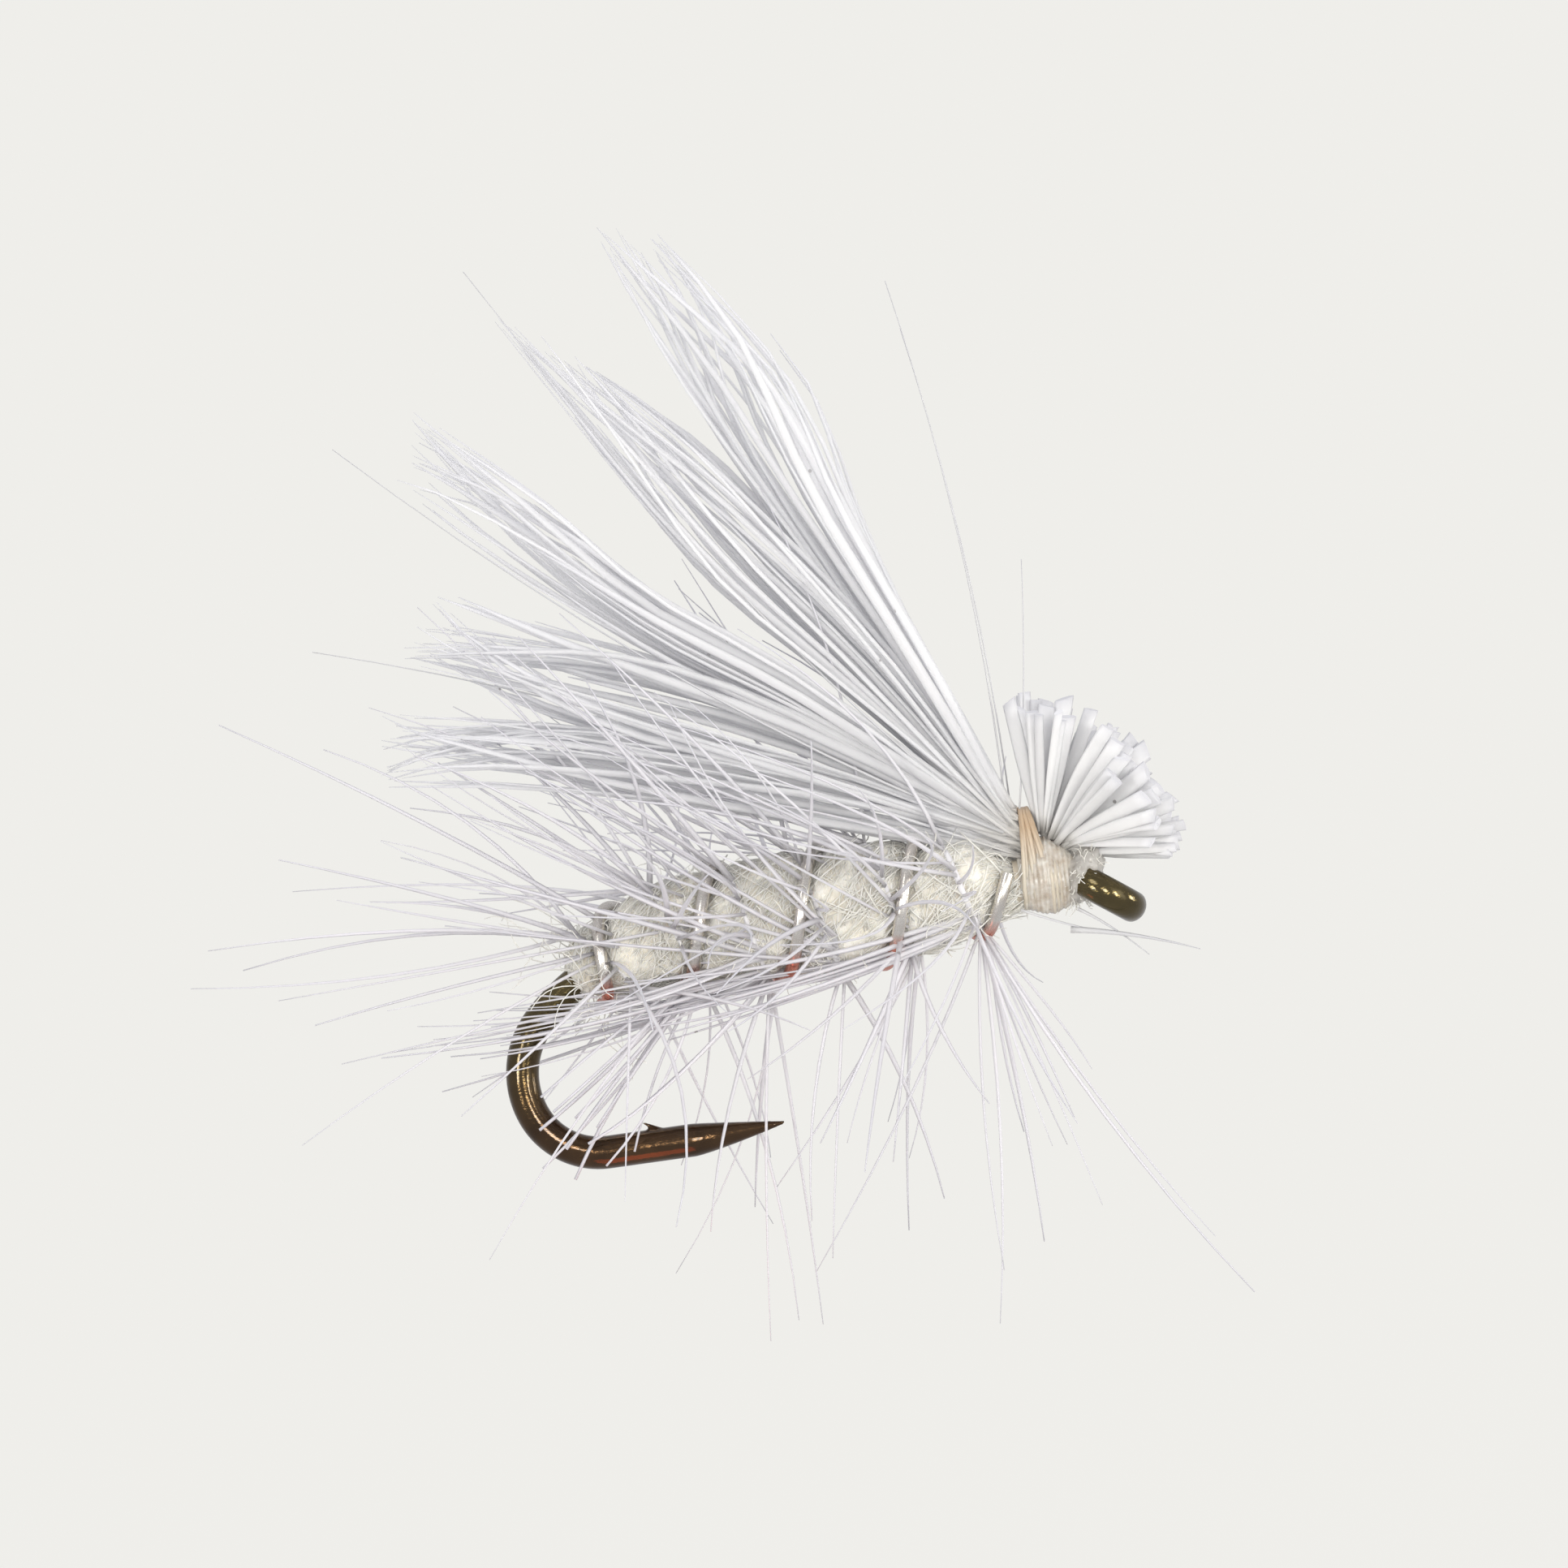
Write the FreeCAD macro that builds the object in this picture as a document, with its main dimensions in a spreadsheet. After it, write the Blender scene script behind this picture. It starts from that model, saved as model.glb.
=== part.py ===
import FreeCAD, Part
import math
import os
import random

from FreeCAD import Placement, Rotation, Vector
import Sketcher

# Dry fly with a flared hair wing, in millimetres.
# +X runs forward along the shank and out past the hook eye, +Z is up, Y runs from side to side.
# The origin is the centre of the hook eye.
# A station is a distance measured backward along the wire's centre line from the back of the eye ring.

SIZES = {
    # hook
    "wire_diameter": 0.45,
    "ring_wire_diameter": 0.40,
    "ring_mean_radius": 0.50,
    "eye_hole_radius": 0.32,
    "eye_angle": 36.3,
    "shank_length": 5.77,
    "bend_entry_radius": 3.73,
    "bend_entry_turn": 43.5,
    "bend_heel_radius": 1.32,
    "bend_heel_turn": 67.0,
    "bend_throat_radius": 1.13,
    "bend_throat_turn": 69.5,
    "spear_length": 1.32,
    "point_length": 1.40,
    "point_tip_diameter": 0.05,
    "point_lift": 0.08,
    "barb_setback": 0.35,
    "barb_length": 0.42,
    "barb_height": 0.16,
    "barb_thickness": 0.14,
    # thread work
    "thread_diameter": 0.09,
    "wrap_pitch": 0.078,
    "base_wall": 0.05,
    "head_gap": 0.02,
    "head_length": 0.43,
    "head_front_radius": 0.36,
    "head_back_radius": 0.42,
    "tie_off_length": 0.48,
    "tie_off_radius": 0.36,
    "rear_wrap_count": 5,
    "whip_wrap_count": 3,
    "collar_wrap_count": 4,
    "cement_thickness": 0.03,
    "cement_length": 0.16,
    # dubbed body
    "body_front_radius": 0.50,
    "body_peak_radius": 0.87,
    "body_rear_radius": 0.44,
    "body_peak_setback": 1.97,
    "body_overhang": 2.08,
    # rib and hackle
    "rib_diameter": 0.145,
    "rib_pitch": 1.556,
    "rib_margin": 0.13,
    "quill_diameter": 0.11,
    "quill_margin": 0.30,
    "hackle_wrap_count": 6,
    "barbs_per_wrap": 22,
    "barb_reach": 6.0,
    "barb_root_diameter": 0.07,
    "barb_tip_diameter": 0.015,
    "shortest_barb_share": 0.66,
    "least_barb_sweep": -6.0,
    "most_barb_sweep": 34.0,
    "extra_sweep_above": 48.0,
    "barb_bow_share": 0.06,
    "quill_start_angle": 200.0,
    # wing
    "bundle_radius": 0.36,
    "hairs_per_tuft": 6,
    "hair_tie_diameter": 0.085,
    "hair_diameter": 0.15,
    "hair_tip_diameter": 0.03,
    "hair_length": 11.4,
    "hair_knee_share": 0.42,
    "hair_knee_spread": 0.36,
    "hair_taper_share": 0.5,
    "outer_hair_shortening": 0.06,
    "tuft_half_angle": 2.6,
    "wing_half_width": 3.2,
    "stub_diameter": 0.19,
    "stub_length": 2.1,
    "stub_half_width": 1.2,
    "stub_waist_place": 0.3,
    "stub_waist_share": 0.75,
    "loose_hair_diameter": 0.045,
}

# Each tuft of the wing, steepest first: the slope at which its hairs leave the tie,
# the slope from the tie to their tips, both in degrees above the shank, and their share of hair_length.
TUFTS = (
    (67.0, 65.5, 1.00),
    (44.0, 54.5, 0.99),
    (37.0, 42.5, 0.98),
    (25.0, 28.0, 0.92),
    (16.0, 14.5, 0.87),
)

# Slopes of the cut stubs, from the highest in the bundle to the lowest, in degrees above straight ahead.
STUB_SLOPES = (94.0, -10.0)

# Single hairs that stand away from the wing, measured from the middle of the tie:
# the root in bundle radii and the tip in hair lengths.
WING_STRAYS = (
    (Vector(-0.375, -0.278, 1.122), Vector(-0.075, -0.053, 0.754)),
    (Vector(-0.153, 0.500, 1.067), Vector(-0.061, 0.061, 0.697)),
    (Vector(0.181, -0.556, 1.122), Vector(0.053, -0.044, 0.364)),
)

# Single hairs that the tie-off holds: the angle round it, in degrees from straight below
# through the -Y side, and the way to the tip in stub lengths.
TIE_OFF_STRAYS = (
    (70.0, Vector(1.23, -0.21, -0.58)),
    (-70.0, Vector(0.90, 0.23, -0.57)),
)

# Places along a wing hair, as shares of the way from its tie to its tip, where its section is given.
HAIR_PLACES = (0.12, 0.3, 0.5, 0.75, 1)

# The barb's flat underside: wire diameters above the wire's centre line, and barb lengths behind its root.
BARB_SINK = 0.3
BARB_HEEL = 0.6

# The cutter of the eye hole is this many times as long as the ring is thick.
HOLE_CUT = 1.5

BODY_SECTIONS = 11
STEPS_PER_TURN = 12
BARB_STEPS = 3
ROD_SIDES = 5
SEED = 7

doc = FreeCAD.newDocument("dry_fly")
sheet = doc.addObject("Spreadsheet::Sheet", "sizes")
for row, (alias, value) in enumerate(SIZES.items(), start=1):
    sheet.set(f"A{row}", alias)
    sheet.set(f"B{row}", str(value))
    sheet.setAlias(f"B{row}", alias)
doc.recompute()

RING_BACK_X = "(0 - sizes.ring_mean_radius * cos(sizes.eye_angle))"
SHANK_HEIGHT = "(sizes.ring_mean_radius * sin(sizes.eye_angle))"
WIRE_RADIUS = "sizes.wire_diameter / 2"
THREAD_RADIUS = "sizes.thread_diameter / 2"
BASE_RADIUS = "(sizes.wire_diameter / 2 + sizes.base_wall)"
HEAD_FRONT_X = f"({RING_BACK_X} - sizes.head_gap)"
HEAD_BACK_X = f"({HEAD_FRONT_X} - sizes.head_length)"
TIE_OFF_BACK_X = f"({HEAD_BACK_X} - sizes.tie_off_length)"
BUNDLE_HEIGHT = f"({SHANK_HEIGHT} + sizes.tie_off_radius + sizes.bundle_radius)"


def size(alias):
    """The value that the sheet holds for one size."""
    return float(sheet.getPropertyByName(alias))


def shank_height():
    """Height of the shank's centre line above the eye's centre."""
    return size("ring_mean_radius") * math.sin(math.radians(size("eye_angle")))


def ring_back_x():
    """Where the wire's centre line leaves the back of the eye ring."""
    return -size("ring_mean_radius") * math.cos(math.radians(size("eye_angle")))


def body_front_station():
    """Station where the thread work ends and the dubbing starts."""
    return size("head_gap") + size("head_length") + size("tie_off_length")


def body_rear_station():
    """Station of the dubbing's rear end, a little way round the bend."""
    return size("shank_length") + size("body_overhang")


def axis_at(station):
    """Centre of the wire at a station, the upward normal there and the backward direction."""
    straight = size("shank_length")
    radius = size("bend_entry_radius")
    turn = max(0.0, station - straight) / radius
    x = ring_back_x() - min(station, straight) - radius * math.sin(turn)
    z = shank_height() - radius * (1 - math.cos(turn))
    normal = Vector(-math.sin(turn), 0, math.cos(turn))
    backward = Vector(-math.cos(turn), 0, -math.sin(turn))
    return Vector(x, 0, z), normal, backward


def body_radius(station):
    """Radius of the dubbed body: it swells from the front to its fattest place and tapers to the rear."""
    front = body_front_station()
    peak = size("shank_length") - size("body_peak_setback")
    rear = body_rear_station()
    if station < peak:
        share = (peak - max(station, front)) / (peak - front)
        end_radius = size("body_front_radius")
    else:
        share = (min(station, rear) - peak) / (rear - peak)
        end_radius = size("body_rear_radius")
    return size("body_peak_radius") + (end_radius - size("body_peak_radius")) * share ** 2


def around_body(station, angle, radius):
    """A point beside the wire, its angle in degrees from straight below through the -Y side."""
    centre, normal, _ = axis_at(station)
    side = Vector(0, -1, 0) * math.sin(math.radians(angle))
    return centre + (side - normal * math.cos(math.radians(angle))) * radius


def tie_front():
    """Middle of the hair bundle where it comes out in front of its tie."""
    x = ring_back_x() - size("head_gap") - size("head_length")
    return Vector(x, 0, shank_height() + size("tie_off_radius") + size("bundle_radius"))


def tie_back():
    """Middle of the hair bundle where it leaves the tie backward."""
    return tie_front() - Vector(size("wrap_pitch") * size("collar_wrap_count"), 0, 0)


def new_body(name):
    body = doc.addObject("PartDesign::Body", name)
    body.Label = name
    return body


def new_sketch(body, name, role):
    """An empty sketch on one of the body's own origin planes."""
    sketch = body.newObject("Sketcher::SketchObject", name)
    plane = next(item for item in body.Origin.OriginFeatures if item.Role == role)
    sketch.AttachmentSupport = (plane, [""])
    sketch.MapMode = "FlatFace"
    return sketch


def constrain(sketch, name, constraint, expression):
    """Add a named constraint whose value follows the sheet."""
    index = sketch.addConstraint(constraint)
    sketch.renameConstraint(index, name)
    sketch.setExpression(f"Constraints.{name}", expression)


def add_circle(sketch, name, radius_expression, height_expression="0"):
    """A circle on the sketch's vertical axis."""
    circle = sketch.addGeometry(Part.Circle(Vector(0, 0.1, 0), Vector(0, 0, 1), 0.2), False)
    sketch.addConstraint(Sketcher.Constraint("PointOnObject", circle, 3, -2))
    constrain(sketch, name + "_radius", Sketcher.Constraint("Radius", circle, 0.2), radius_expression)
    height = Sketcher.Constraint("DistanceY", circle, 3, 0.1)
    constrain(sketch, name + "_height", height, height_expression)


def add_profile(sketch, corners):
    """A closed outline of straight edges, each corner held by two sheet expressions."""
    count = len(corners)
    guesses = [Vector(sheet_value(across), sheet_value(up), 0) for across, up in corners]
    for index in range(count):
        edge = Part.LineSegment(guesses[index], guesses[(index + 1) % count])
        sketch.addGeometry(edge, False)
    for index in range(count):
        sketch.addConstraint(Sketcher.Constraint("Coincident", index, 2, (index + 1) % count, 1))
    for index, (across, up) in enumerate(corners):
        place = guesses[index]
        constrain(sketch, f"across_{index}", Sketcher.Constraint("DistanceX", index, 1, place.x), across)
        constrain(sketch, f"up_{index}", Sketcher.Constraint("DistanceY", index, 1, place.y), up)


def sheet_value(expression):
    """Work out one expression from the sheet."""
    return float(sheet.evalExpression(expression))


def add_wire_path(sketch):
    """Centre line of the hook: straight shank, three tangent arcs and the straight spear."""
    place = Vector(ring_back_x(), shank_height(), 0)
    heading = math.pi
    ahead = Vector(math.cos(heading), math.sin(heading), 0)
    shank_end = place + ahead * size("shank_length")
    sketch.addGeometry(Part.LineSegment(place, shank_end), False)
    place = shank_end
    for part in ("entry", "heel", "throat"):
        radius = size(f"bend_{part}_radius")
        turn = math.radians(size(f"bend_{part}_turn"))
        centre = place + Vector(-math.sin(heading), math.cos(heading), 0) * radius
        start = heading - math.pi / 2
        circle = Part.Circle(centre, Vector(0, 0, 1), radius)
        sketch.addGeometry(Part.ArcOfCircle(circle, start, start + turn), False)
        heading += turn
        place = centre + Vector(math.sin(heading), -math.cos(heading), 0) * radius
    ahead = Vector(math.cos(heading), math.sin(heading), 0)
    sketch.addGeometry(Part.LineSegment(place, place + ahead * size("spear_length")), False)
    for index in range(4):
        sketch.addConstraint(Sketcher.Constraint("Tangent", index, 2, index + 1, 1))
    sketch.addConstraint(Sketcher.Constraint("Horizontal", 0))
    start_x = Sketcher.Constraint("DistanceX", 0, 1, ring_back_x())
    constrain(sketch, "start_across", start_x, RING_BACK_X)
    start_z = Sketcher.Constraint("DistanceY", 0, 1, shank_height())
    constrain(sketch, "start_up", start_z, SHANK_HEIGHT)
    shank = Sketcher.Constraint("Distance", 0, size("shank_length"))
    constrain(sketch, "shank", shank, "sizes.shank_length")
    for index, part in enumerate(("entry", "heel", "throat"), start=1):
        radius = Sketcher.Constraint("Radius", index, size(f"bend_{part}_radius"))
        constrain(sketch, f"{part}_radius", radius, f"sizes.bend_{part}_radius")
        turn = Sketcher.Constraint("Angle", index, math.radians(size(f"bend_{part}_turn")))
        constrain(sketch, f"{part}_turn", turn, f"sizes.bend_{part}_turn * 1 deg")
    spear = Sketcher.Constraint("Distance", 4, size("spear_length"))
    constrain(sketch, "spear", spear, "sizes.spear_length")


def wire_end():
    """Where the spear's round wire ends and the tapered point starts."""
    place = Vector(ring_back_x() - size("shank_length"), 0, shank_height())
    turn = 0.0
    for part in ("entry", "heel", "throat"):
        radius = size(f"bend_{part}_radius")
        after = turn + math.radians(size(f"bend_{part}_turn"))
        place.x -= radius * (math.sin(after) - math.sin(turn))
        place.z -= radius * (math.cos(turn) - math.cos(after))
        turn = after
    return place + Vector(-math.cos(turn), 0, -math.sin(turn)) * size("spear_length")


def make_hook():
    """Bronzed wire hook: turned-down ring eye, shank, round bend, barb and tapered point."""
    body = new_body("hook")
    path = new_sketch(body, "wire_path", "XZ_Plane")
    add_wire_path(path)
    section = new_sketch(body, "wire_section", "YZ_Plane")
    add_circle(section, "wire", WIRE_RADIUS, SHANK_HEIGHT)
    section.setExpression(".AttachmentOffset.Base.z", RING_BACK_X)
    doc.recompute()
    wire = body.newObject("PartDesign::AdditivePipe", "wire")
    wire.Profile = section
    wire.Spine = (path, [f"Edge{index}" for index in range(1, 6)])
    doc.recompute()

    end = wire_end()
    root = new_sketch(body, "point_root", "YZ_Plane")
    add_circle(root, "root", WIRE_RADIUS)
    root.AttachmentOffset = Placement(Vector(0, end.z, end.x), Rotation())
    tip = new_sketch(body, "point_tip", "YZ_Plane")
    add_circle(tip, "tip", "sizes.point_tip_diameter / 2", "sizes.point_lift")
    tip.AttachmentOffset = Placement(Vector(0, end.z, end.x + size("point_length")), Rotation())
    point = body.newObject("PartDesign::AdditiveLoft", "point")
    point.Profile = root
    point.Sections = [tip]
    doc.recompute()

    barb = new_sketch(body, "barb_outline", "XZ_Plane")
    barb_root_x = f"({end.x} - sizes.barb_setback)"
    barb_base_z = f"({end.z} + sizes.wire_diameter * {BARB_SINK})"
    barb_tip_z = f"({end.z} + sizes.wire_diameter / 2 + sizes.barb_height)"
    add_profile(barb, (
        (barb_root_x, barb_base_z),
        (f"({barb_root_x} - sizes.barb_length)", barb_tip_z),
        (f"({barb_root_x} - sizes.barb_length * {BARB_HEEL})", barb_base_z),
    ))
    sliver = body.newObject("PartDesign::Pad", "barb")
    sliver.Profile = barb
    sliver.Midplane = True
    sliver.setExpression("Length", "sizes.barb_thickness")
    doc.recompute()

    ring_section = new_sketch(body, "ring_section", "XZ_Plane")
    lean = math.radians(size("eye_angle"))
    spindle = Part.LineSegment(Vector(0, 0, 0), Vector(math.sin(lean), math.cos(lean), 0))
    ring_section.addGeometry(spindle, True)
    ring_section.addConstraint(Sketcher.Constraint("Coincident", 0, 1, -1, 1))
    lean_angle = Sketcher.Constraint("Angle", -1, 1, 0, 1, math.pi / 2 - lean)
    constrain(ring_section, "lean", lean_angle, "90 deg - sizes.eye_angle * 1 deg")
    ring_section.addConstraint(Sketcher.Constraint("Distance", 0, 1.0))
    tube = Part.Circle(Vector(ring_back_x(), shank_height(), 0), Vector(0, 0, 1), 0.2)
    ring_section.addGeometry(tube, False)
    constrain(ring_section, "tube_radius", Sketcher.Constraint("Radius", 1, 0.2),
              "sizes.ring_wire_diameter / 2")
    tube_across = Sketcher.Constraint("DistanceX", 1, 3, ring_back_x())
    constrain(ring_section, "tube_across", tube_across, RING_BACK_X)
    tube_up = Sketcher.Constraint("DistanceY", 1, 3, shank_height())
    constrain(ring_section, "tube_up", tube_up, SHANK_HEIGHT)
    ring = body.newObject("PartDesign::Revolution", "eye_ring")
    ring.Profile = ring_section
    ring.ReferenceAxis = (ring_section, ["Axis0"])
    ring.Angle = 360
    doc.recompute()

    hole_section = new_sketch(body, "eye_hole_section", "YZ_Plane")
    add_circle(hole_section, "hole", "sizes.eye_hole_radius")
    turn_down = Rotation(Vector(1, 0, 0), size("eye_angle") - 90)
    hole_section.AttachmentOffset = Placement(Vector(0, 0, 0), turn_down)
    hole = body.newObject("PartDesign::Pocket", "eye_hole")
    hole.Profile = hole_section
    hole.Midplane = True
    hole.setExpression("Length", f"sizes.ring_wire_diameter * {HOLE_CUT}")
    doc.recompute()
    if hole.Shape.Volume >= ring.Shape.Volume:
        raise ValueError("the eye hole cut nothing")
    return body


def make_sleeve(name, front_x, back_x, inner_radius, front_radius, back_radius):
    """A ring of revolution round the shank with a straight bore and a tapered outside."""
    body = new_body(name)
    outline = new_sketch(body, name + "_outline", "XZ_Plane")
    add_profile(outline, (
        (front_x, f"({SHANK_HEIGHT} + {inner_radius})"),
        (front_x, f"({SHANK_HEIGHT} + {front_radius})"),
        (back_x, f"({SHANK_HEIGHT} + {back_radius})"),
        (back_x, f"({SHANK_HEIGHT} + {inner_radius})"),
    ))
    axis = outline.addGeometry(Part.LineSegment(Vector(-1, 0.3, 0), Vector(1, 0.3, 0)), True)
    outline.addConstraint(Sketcher.Constraint("Horizontal", axis))
    outline.addConstraint(Sketcher.Constraint("DistanceX", axis, 1, axis, 2, 2.0))
    outline.addConstraint(Sketcher.Constraint("DistanceX", axis, 1, -1.0))
    constrain(outline, "axis_up", Sketcher.Constraint("DistanceY", axis, 1, 0.3), SHANK_HEIGHT)
    turned = body.newObject("PartDesign::Revolution", name + "_turned")
    turned.Profile = outline
    turned.ReferenceAxis = (outline, ["Axis0"])
    turned.Angle = 360
    doc.recompute()
    return body


def make_wraps(name, count_alias, back_x, inner_radius):
    """Touching turns of thread wound round the shank, the rearmost one at back_x."""
    turns = []
    for index in range(int(size(count_alias))):
        turn = doc.addObject("Part::Torus", f"{name}_turn")
        turn.setExpression("Radius1", f"{inner_radius} + sizes.thread_diameter / 2")
        turn.setExpression("Radius2", "sizes.thread_diameter / 2")
        turn.Placement = Placement(Vector(0, 0, 0), Rotation(Vector(0, 1, 0), 90))
        turn.setExpression(".Placement.Base.x", f"{back_x} + sizes.wrap_pitch * {index}")
        turn.setExpression(".Placement.Base.z", SHANK_HEIGHT)
        turns.append(turn)
    wraps = doc.addObject("Part::MultiFuse", name)
    wraps.Label = name
    wraps.Shapes = turns
    doc.recompute()
    return wraps


def make_wing_collar():
    """Turns of thread that bind the hair bundle down on top of the shank."""
    body = new_body("wing_collar")
    loop = new_sketch(body, "collar_loop", "YZ_Plane")
    low = shank_height()
    high = low + size("tie_off_radius") + size("bundle_radius")
    wide = size("tie_off_radius") + size("thread_diameter") / 2
    narrow = size("bundle_radius") + size("thread_diameter") / 2
    lean = math.asin((wide - narrow) / (high - low))
    centres = (Vector(0, low, 0), Vector(0, high, 0))
    upright = Vector(0, 0, 1)
    below = Part.ArcOfCircle(Part.Circle(centres[0], upright, wide), math.pi - lean, 2 * math.pi + lean)
    above = Part.ArcOfCircle(Part.Circle(centres[1], upright, narrow), lean, math.pi - lean)
    loop.addGeometry(below, False)
    loop.addGeometry(Part.LineSegment(below.EndPoint, above.StartPoint), False)
    loop.addGeometry(above, False)
    loop.addGeometry(Part.LineSegment(above.EndPoint, below.StartPoint), False)
    for index in range(4):
        loop.addConstraint(Sketcher.Constraint("Tangent", index, 2, (index + 1) % 4, 1))
    for index, name, radius, height in (
        (0, "shank_side", f"sizes.tie_off_radius + {THREAD_RADIUS}", SHANK_HEIGHT),
        (2, "hair_side", f"sizes.bundle_radius + {THREAD_RADIUS}", BUNDLE_HEIGHT),
    ):
        loop.addConstraint(Sketcher.Constraint("PointOnObject", index, 3, -2))
        bend = Sketcher.Constraint("Radius", index, sheet_value(radius))
        constrain(loop, name + "_radius", bend, radius)
        middle = Sketcher.Constraint("DistanceY", index, 3, sheet_value(height))
        constrain(loop, name + "_up", middle, height)
    front_x = f"({HEAD_BACK_X} - sizes.thread_diameter / 2)"
    loop.setExpression(".AttachmentOffset.Base.z", front_x)
    section = new_sketch(body, "collar_section", "XZ_Plane")
    tube = section.addGeometry(Part.Circle(Vector(-1, -0.1, 0), upright, 0.04), False)
    constrain(section, "tube_radius", Sketcher.Constraint("Radius", tube, 0.04), "sizes.thread_diameter / 2")
    constrain(section, "tube_across", Sketcher.Constraint("DistanceX", tube, 3, -1.0), front_x)
    constrain(section, "tube_up", Sketcher.Constraint("DistanceY", tube, 3, -0.1),
              f"{SHANK_HEIGHT} - sizes.tie_off_radius - sizes.thread_diameter / 2")
    doc.recompute()
    turn = body.newObject("PartDesign::AdditivePipe", "collar_turn")
    turn.Profile = section
    turn.Spine = (loop, ["Edge1", "Edge2", "Edge3", "Edge4"])
    doc.recompute()
    turns = body.newObject("PartDesign::LinearPattern", "collar_turns")
    turns.Originals = [turn]
    axis = next(item for item in body.Origin.OriginFeatures if item.Role == "X_Axis")
    turns.Direction = (axis, [""])
    turns.Reversed = True
    turns.setExpression("Occurrences", "sizes.collar_wrap_count")
    turns.setExpression("Length", "sizes.wrap_pitch * (sizes.collar_wrap_count - 1)")
    body.Tip = turns
    doc.recompute()
    return body


def make_dubbed_body(quill):
    """Spun fur, bored for the thread base and the rear tie-in and grooved where the quill presses in."""
    front = body_front_station()
    rear = body_rear_station()
    rings = []
    for index in range(BODY_SECTIONS):
        station = front + (rear - front) * index / (BODY_SECTIONS - 1)
        centre, _, backward = axis_at(station)
        circle = Part.Circle(centre, backward, body_radius(station))
        rings.append(Part.Wire(circle.toShape()))
    fur = Part.makeLoft(rings, True, False)
    start, _, _ = axis_at(front)
    bend_start, _, _ = axis_at(size("shank_length"))
    bend_middle, _, _ = axis_at((size("shank_length") + rear) / 2)
    end, _, _ = axis_at(rear)
    line = Part.LineSegment(start, bend_start).toShape()
    arc = Part.Arc(bend_start, bend_middle, end).toShape()
    bore_radius = size("wire_diameter") / 2 + size("base_wall")
    mouth = Part.Wire(Part.Circle(start, Vector(-1, 0, 0), bore_radius).toShape())
    bore = Part.Wire([line, arc]).makePipeShell([mouth], True, False)
    thread = size("thread_diameter")
    tie_in_width = thread + size("wrap_pitch") * (size("rear_wrap_count") - 1)
    tie_in_back = bend_start - Vector(thread / 2, 0, 0)
    seat = Part.makeCylinder(bore_radius + thread, tie_in_width, tie_in_back, Vector(1, 0, 0))
    dubbing = doc.addObject("Part::Feature", "dubbed_body")
    dubbing.Label = "dubbed_body"
    dubbing.Shape = fur.cut(bore).cut(seat).cut(quill.Shape).Solids[0]
    return dubbing


def make_winding(name, radius, start_station, end_station, turns, start_angle, lift):
    """A wire wound round the body, its centre line held off the dubbing by lift."""
    steps = round(abs(turns) * STEPS_PER_TURN)
    points = []
    for index in range(steps + 1):
        share = index / steps
        station = start_station + (end_station - start_station) * share
        angle = start_angle + 360 * turns * share
        points.append(around_body(station, angle, body_radius(station) + lift))
    line = Part.BSplineCurve()
    line.interpolate(points)
    path = Part.Wire(line.toShape())
    section = Part.Wire(Part.Circle(points[0], line.tangent(0)[0], radius).toShape())
    winding = doc.addObject("Part::Feature", name)
    winding.Label = name
    winding.Shape = path.makePipeShell([section], True, True)
    return winding


def rib_turns():
    """Turns of the rib: it runs from near the body's rear to its front at its own pitch."""
    return (body_rear_station() - body_front_station() - 2 * size("rib_margin")) / size("rib_pitch")


def quill_angle(share):
    """Angle of the quill at a share of its way forward: it winds against the rib."""
    return size("quill_start_angle") - 360 * size("hackle_wrap_count") * share


def quill_station(share):
    """Station of the quill at a share of its way forward."""
    rear = body_rear_station() - size("quill_margin")
    front = body_front_station() + size("quill_diameter") / 2
    return rear + (front - rear) * share


def make_rib():
    radius = size("rib_diameter") / 2
    start = body_rear_station() - size("rib_margin")
    end = body_front_station() + size("rib_margin")
    return make_winding("rib_wire", radius, start, end, rib_turns(), 0, radius)


def make_quill():
    radius = size("quill_diameter") / 2
    start = quill_station(0)
    end = quill_station(1)
    turns = -size("hackle_wrap_count")
    return make_winding("hackle_quill", radius, start, end, turns, quill_angle(0), 0)


def make_hackle_wrap(number):
    """The barbs of one turn of the hackle: stiff tapered fibres that stand out all round the body."""
    dice = random.Random(SEED * 100 + number)
    count = int(size("barbs_per_wrap"))
    wraps = int(size("hackle_wrap_count"))
    root_width = size("barb_root_diameter")
    narrowing = size("barb_tip_diameter") - root_width
    shares = [step / BARB_STEPS for step in range(BARB_STEPS + 1)]
    barbs = []
    for index in range(count):
        share = (number - 1 + (index + 0.5) / count) / wraps
        station = quill_station(share)
        angle = quill_angle(share)
        _, normal, backward = axis_at(station)
        root = around_body(station, angle, body_radius(station))
        outward = (around_body(station, angle, 2.0) - around_body(station, angle, 1.0)).normalize()
        above = max(0.0, outward.dot(normal))
        tilt = dice.uniform(size("least_barb_sweep"), size("most_barb_sweep"))
        sweep = math.radians(tilt + size("extra_sweep_above") * above)
        direction = outward * math.cos(sweep) + backward * math.sin(sweep)
        length = size("barb_reach") * dice.uniform(size("shortest_barb_share"), 1.0)
        tip = root + direction * length
        bow = dice.uniform(0.0, size("barb_bow_share")) * length
        knee = (root + tip) / 2 - backward * bow
        points = [curve_point((root, knee, tip), share) for share in shares]
        widths = [root_width + narrowing * share for share in shares]
        barbs.append(tapered_rod(points, widths))
    group = doc.addObject("Part::Feature", f"hackle_barbs_{number}")
    group.Label = f"hackle_barbs_{number}"
    group.Shape = Part.makeCompound(barbs)
    return group


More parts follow.
